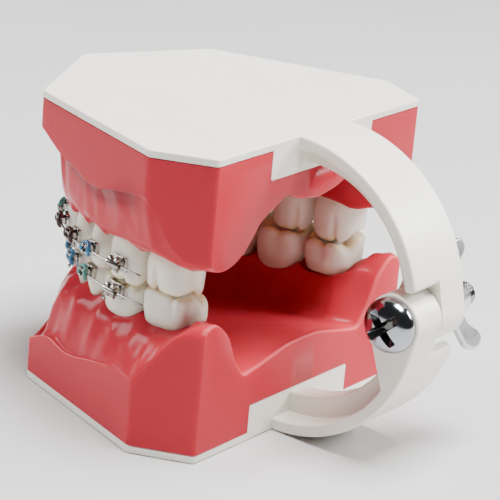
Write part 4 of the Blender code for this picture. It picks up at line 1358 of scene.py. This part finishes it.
def make_braces(jaw):
    """Brackets with their ligature rings from the central incisors to the second premolars, and tubes."""
    wire = wire_path(jaw)
    shapes = {hook: bracket_solid(hook) for hook in (False, True)}
    ring_shape, tube_shape = ligature_points(), tube_solid(jaw)
    for index, (row, labial, tangent, normal) in enumerate(tooth_frames(jaw)[:6]):
        inside = labial - normal * 3.0
        centre = np.append(inside + normal * meets(wire, inside, normal), JAWS[jaw]["wire_z"])
        axes = np.array([(*tangent, 0.0), (*normal, 0.0), (0.0, 0.0, 1.0)])

        def add(name, side, shape, *looks, sharp=180.0):
            flip = (1, 1, -1 if jaw == "upper" else 1)
            points = ((np.asarray(shape[0]) * flip) @ axes + centre) * (side, 1, 1)
            new_piece(name, points, shape[1], *looks, sharp=sharp)

        for side, side_name in SIDES:
            quarter, body = f"{jaw}_{side_name}", f"{jaw}_jaw"
            if row[0] == "first_molar":
                node = f"{quarter}_molar_tube"
                add(f"{quarter}_buccal_tube", side, tube_shape, BRACKET, body, node, sharp=35)
                continue
            name = f"{quarter}_{row[0]}"
            shape = shapes[(jaw, row[0]) in HOOKED]
            add(f"{name}_twin_bracket", side, shape, BRACKET, body, f"{name}_bracket", sharp=35)
            add(f"{name}_ligature", side, ring_shape, RUBBERS[RING_COLOURS[jaw][index]], body)


# Camera, floor and light

CAMERA_PLACE = Vector((0.350, BACK_Y * MM + 0.2419, 0.1887))
CAMERA_ANGLES = (-143.73, -19.96, 5.29)  # azimuth, elevation and roll in degrees
CAMERA_LENS = 169.3
FLOOR_HALF = 4.0
LIGHT_AIM = Vector((0.0, 0.01, 0.03))


def make_camera():
    azimuth, elevation, roll = (math.radians(a) for a in CAMERA_ANGLES)
    forward = Vector((math.cos(elevation) * math.cos(azimuth), math.cos(elevation) * math.sin(azimuth),
                      math.sin(elevation)))
    level = forward.cross(Vector((0, 0, 1))).normalized()
    upright = level.cross(forward)
    right = math.cos(roll) * level + math.sin(roll) * upright
    up = -math.sin(roll) * level + math.cos(roll) * upright
    camera = bpy.data.objects.new("camera", bpy.data.cameras.new("camera"))
    camera.data.sensor_width = 36.0
    camera.data.lens = CAMERA_LENS
    turn = Matrix((right, up, -forward)).transposed().to_4x4()
    camera.matrix_world = Matrix.Translation(CAMERA_PLACE) @ turn
    bpy.context.scene.collection.objects.link(camera)
    bpy.context.scene.camera = camera


def make_floor():
    material = new_material(
        "floor_pale", 0.6, tone=(8, 2.0), stops=((0.3, (0.56, 0.56, 0.555)), (0.7, (0.60, 0.60, 0.595))))
    mesh = bpy.data.meshes.new("floor")
    corners = [(x * FLOOR_HALF, y * FLOOR_HALF, 0) for x, y in ((-1, -1), (1, -1), (1, 1), (-1, 1))]
    mesh.from_pydata(corners, [], [(0, 1, 2, 3)])
    mesh.materials.append(material)
    floor = bpy.data.objects.new("floor", mesh)
    bpy.context.scene.collection.objects.link(floor)
    floor.location.z = -0.0001


def make_light(name, place, size, energy):
    """A soft square panel that faces the model."""
    light = bpy.data.lights.new(name, "AREA")
    light.shape = "RECTANGLE"
    light.size = light.size_y = size
    light.energy = energy
    lamp = bpy.data.objects.new(name, light)
    lamp.location = place
    lamp.rotation_euler = (LIGHT_AIM - Vector(place)).to_track_quat("-Z", "Y").to_euler()
    bpy.context.scene.collection.objects.link(lamp)


def make_world():
    world = bpy.data.worlds.new("studio")
    world.use_nodes = True
    bpy.context.scene.world = world
    back = world.node_tree.nodes["Background"]
    back.inputs["Color"].default_value = (0.80, 0.82, 0.85, 1.0)
    back.inputs["Strength"].default_value = 0.06


for make in (make_teeth, make_gum, make_plate):
    for jaw in ("lower", "upper"):
        make(jaw)


make_screw()
make_wing_nut()
for jaw in JAWS:
    make_wire(jaw)
    make_braces(jaw)


make_camera()
make_floor()
make_world()
make_light("key_panel", (0.0, 0.18, 0.80), 0.36, 21.0)
make_light("back_panel", (-0.58, 0.52, 0.48), 0.3, 11.0)
make_light("front_panel", (0.28, -0.62, 0.34), 0.3, 4.6)
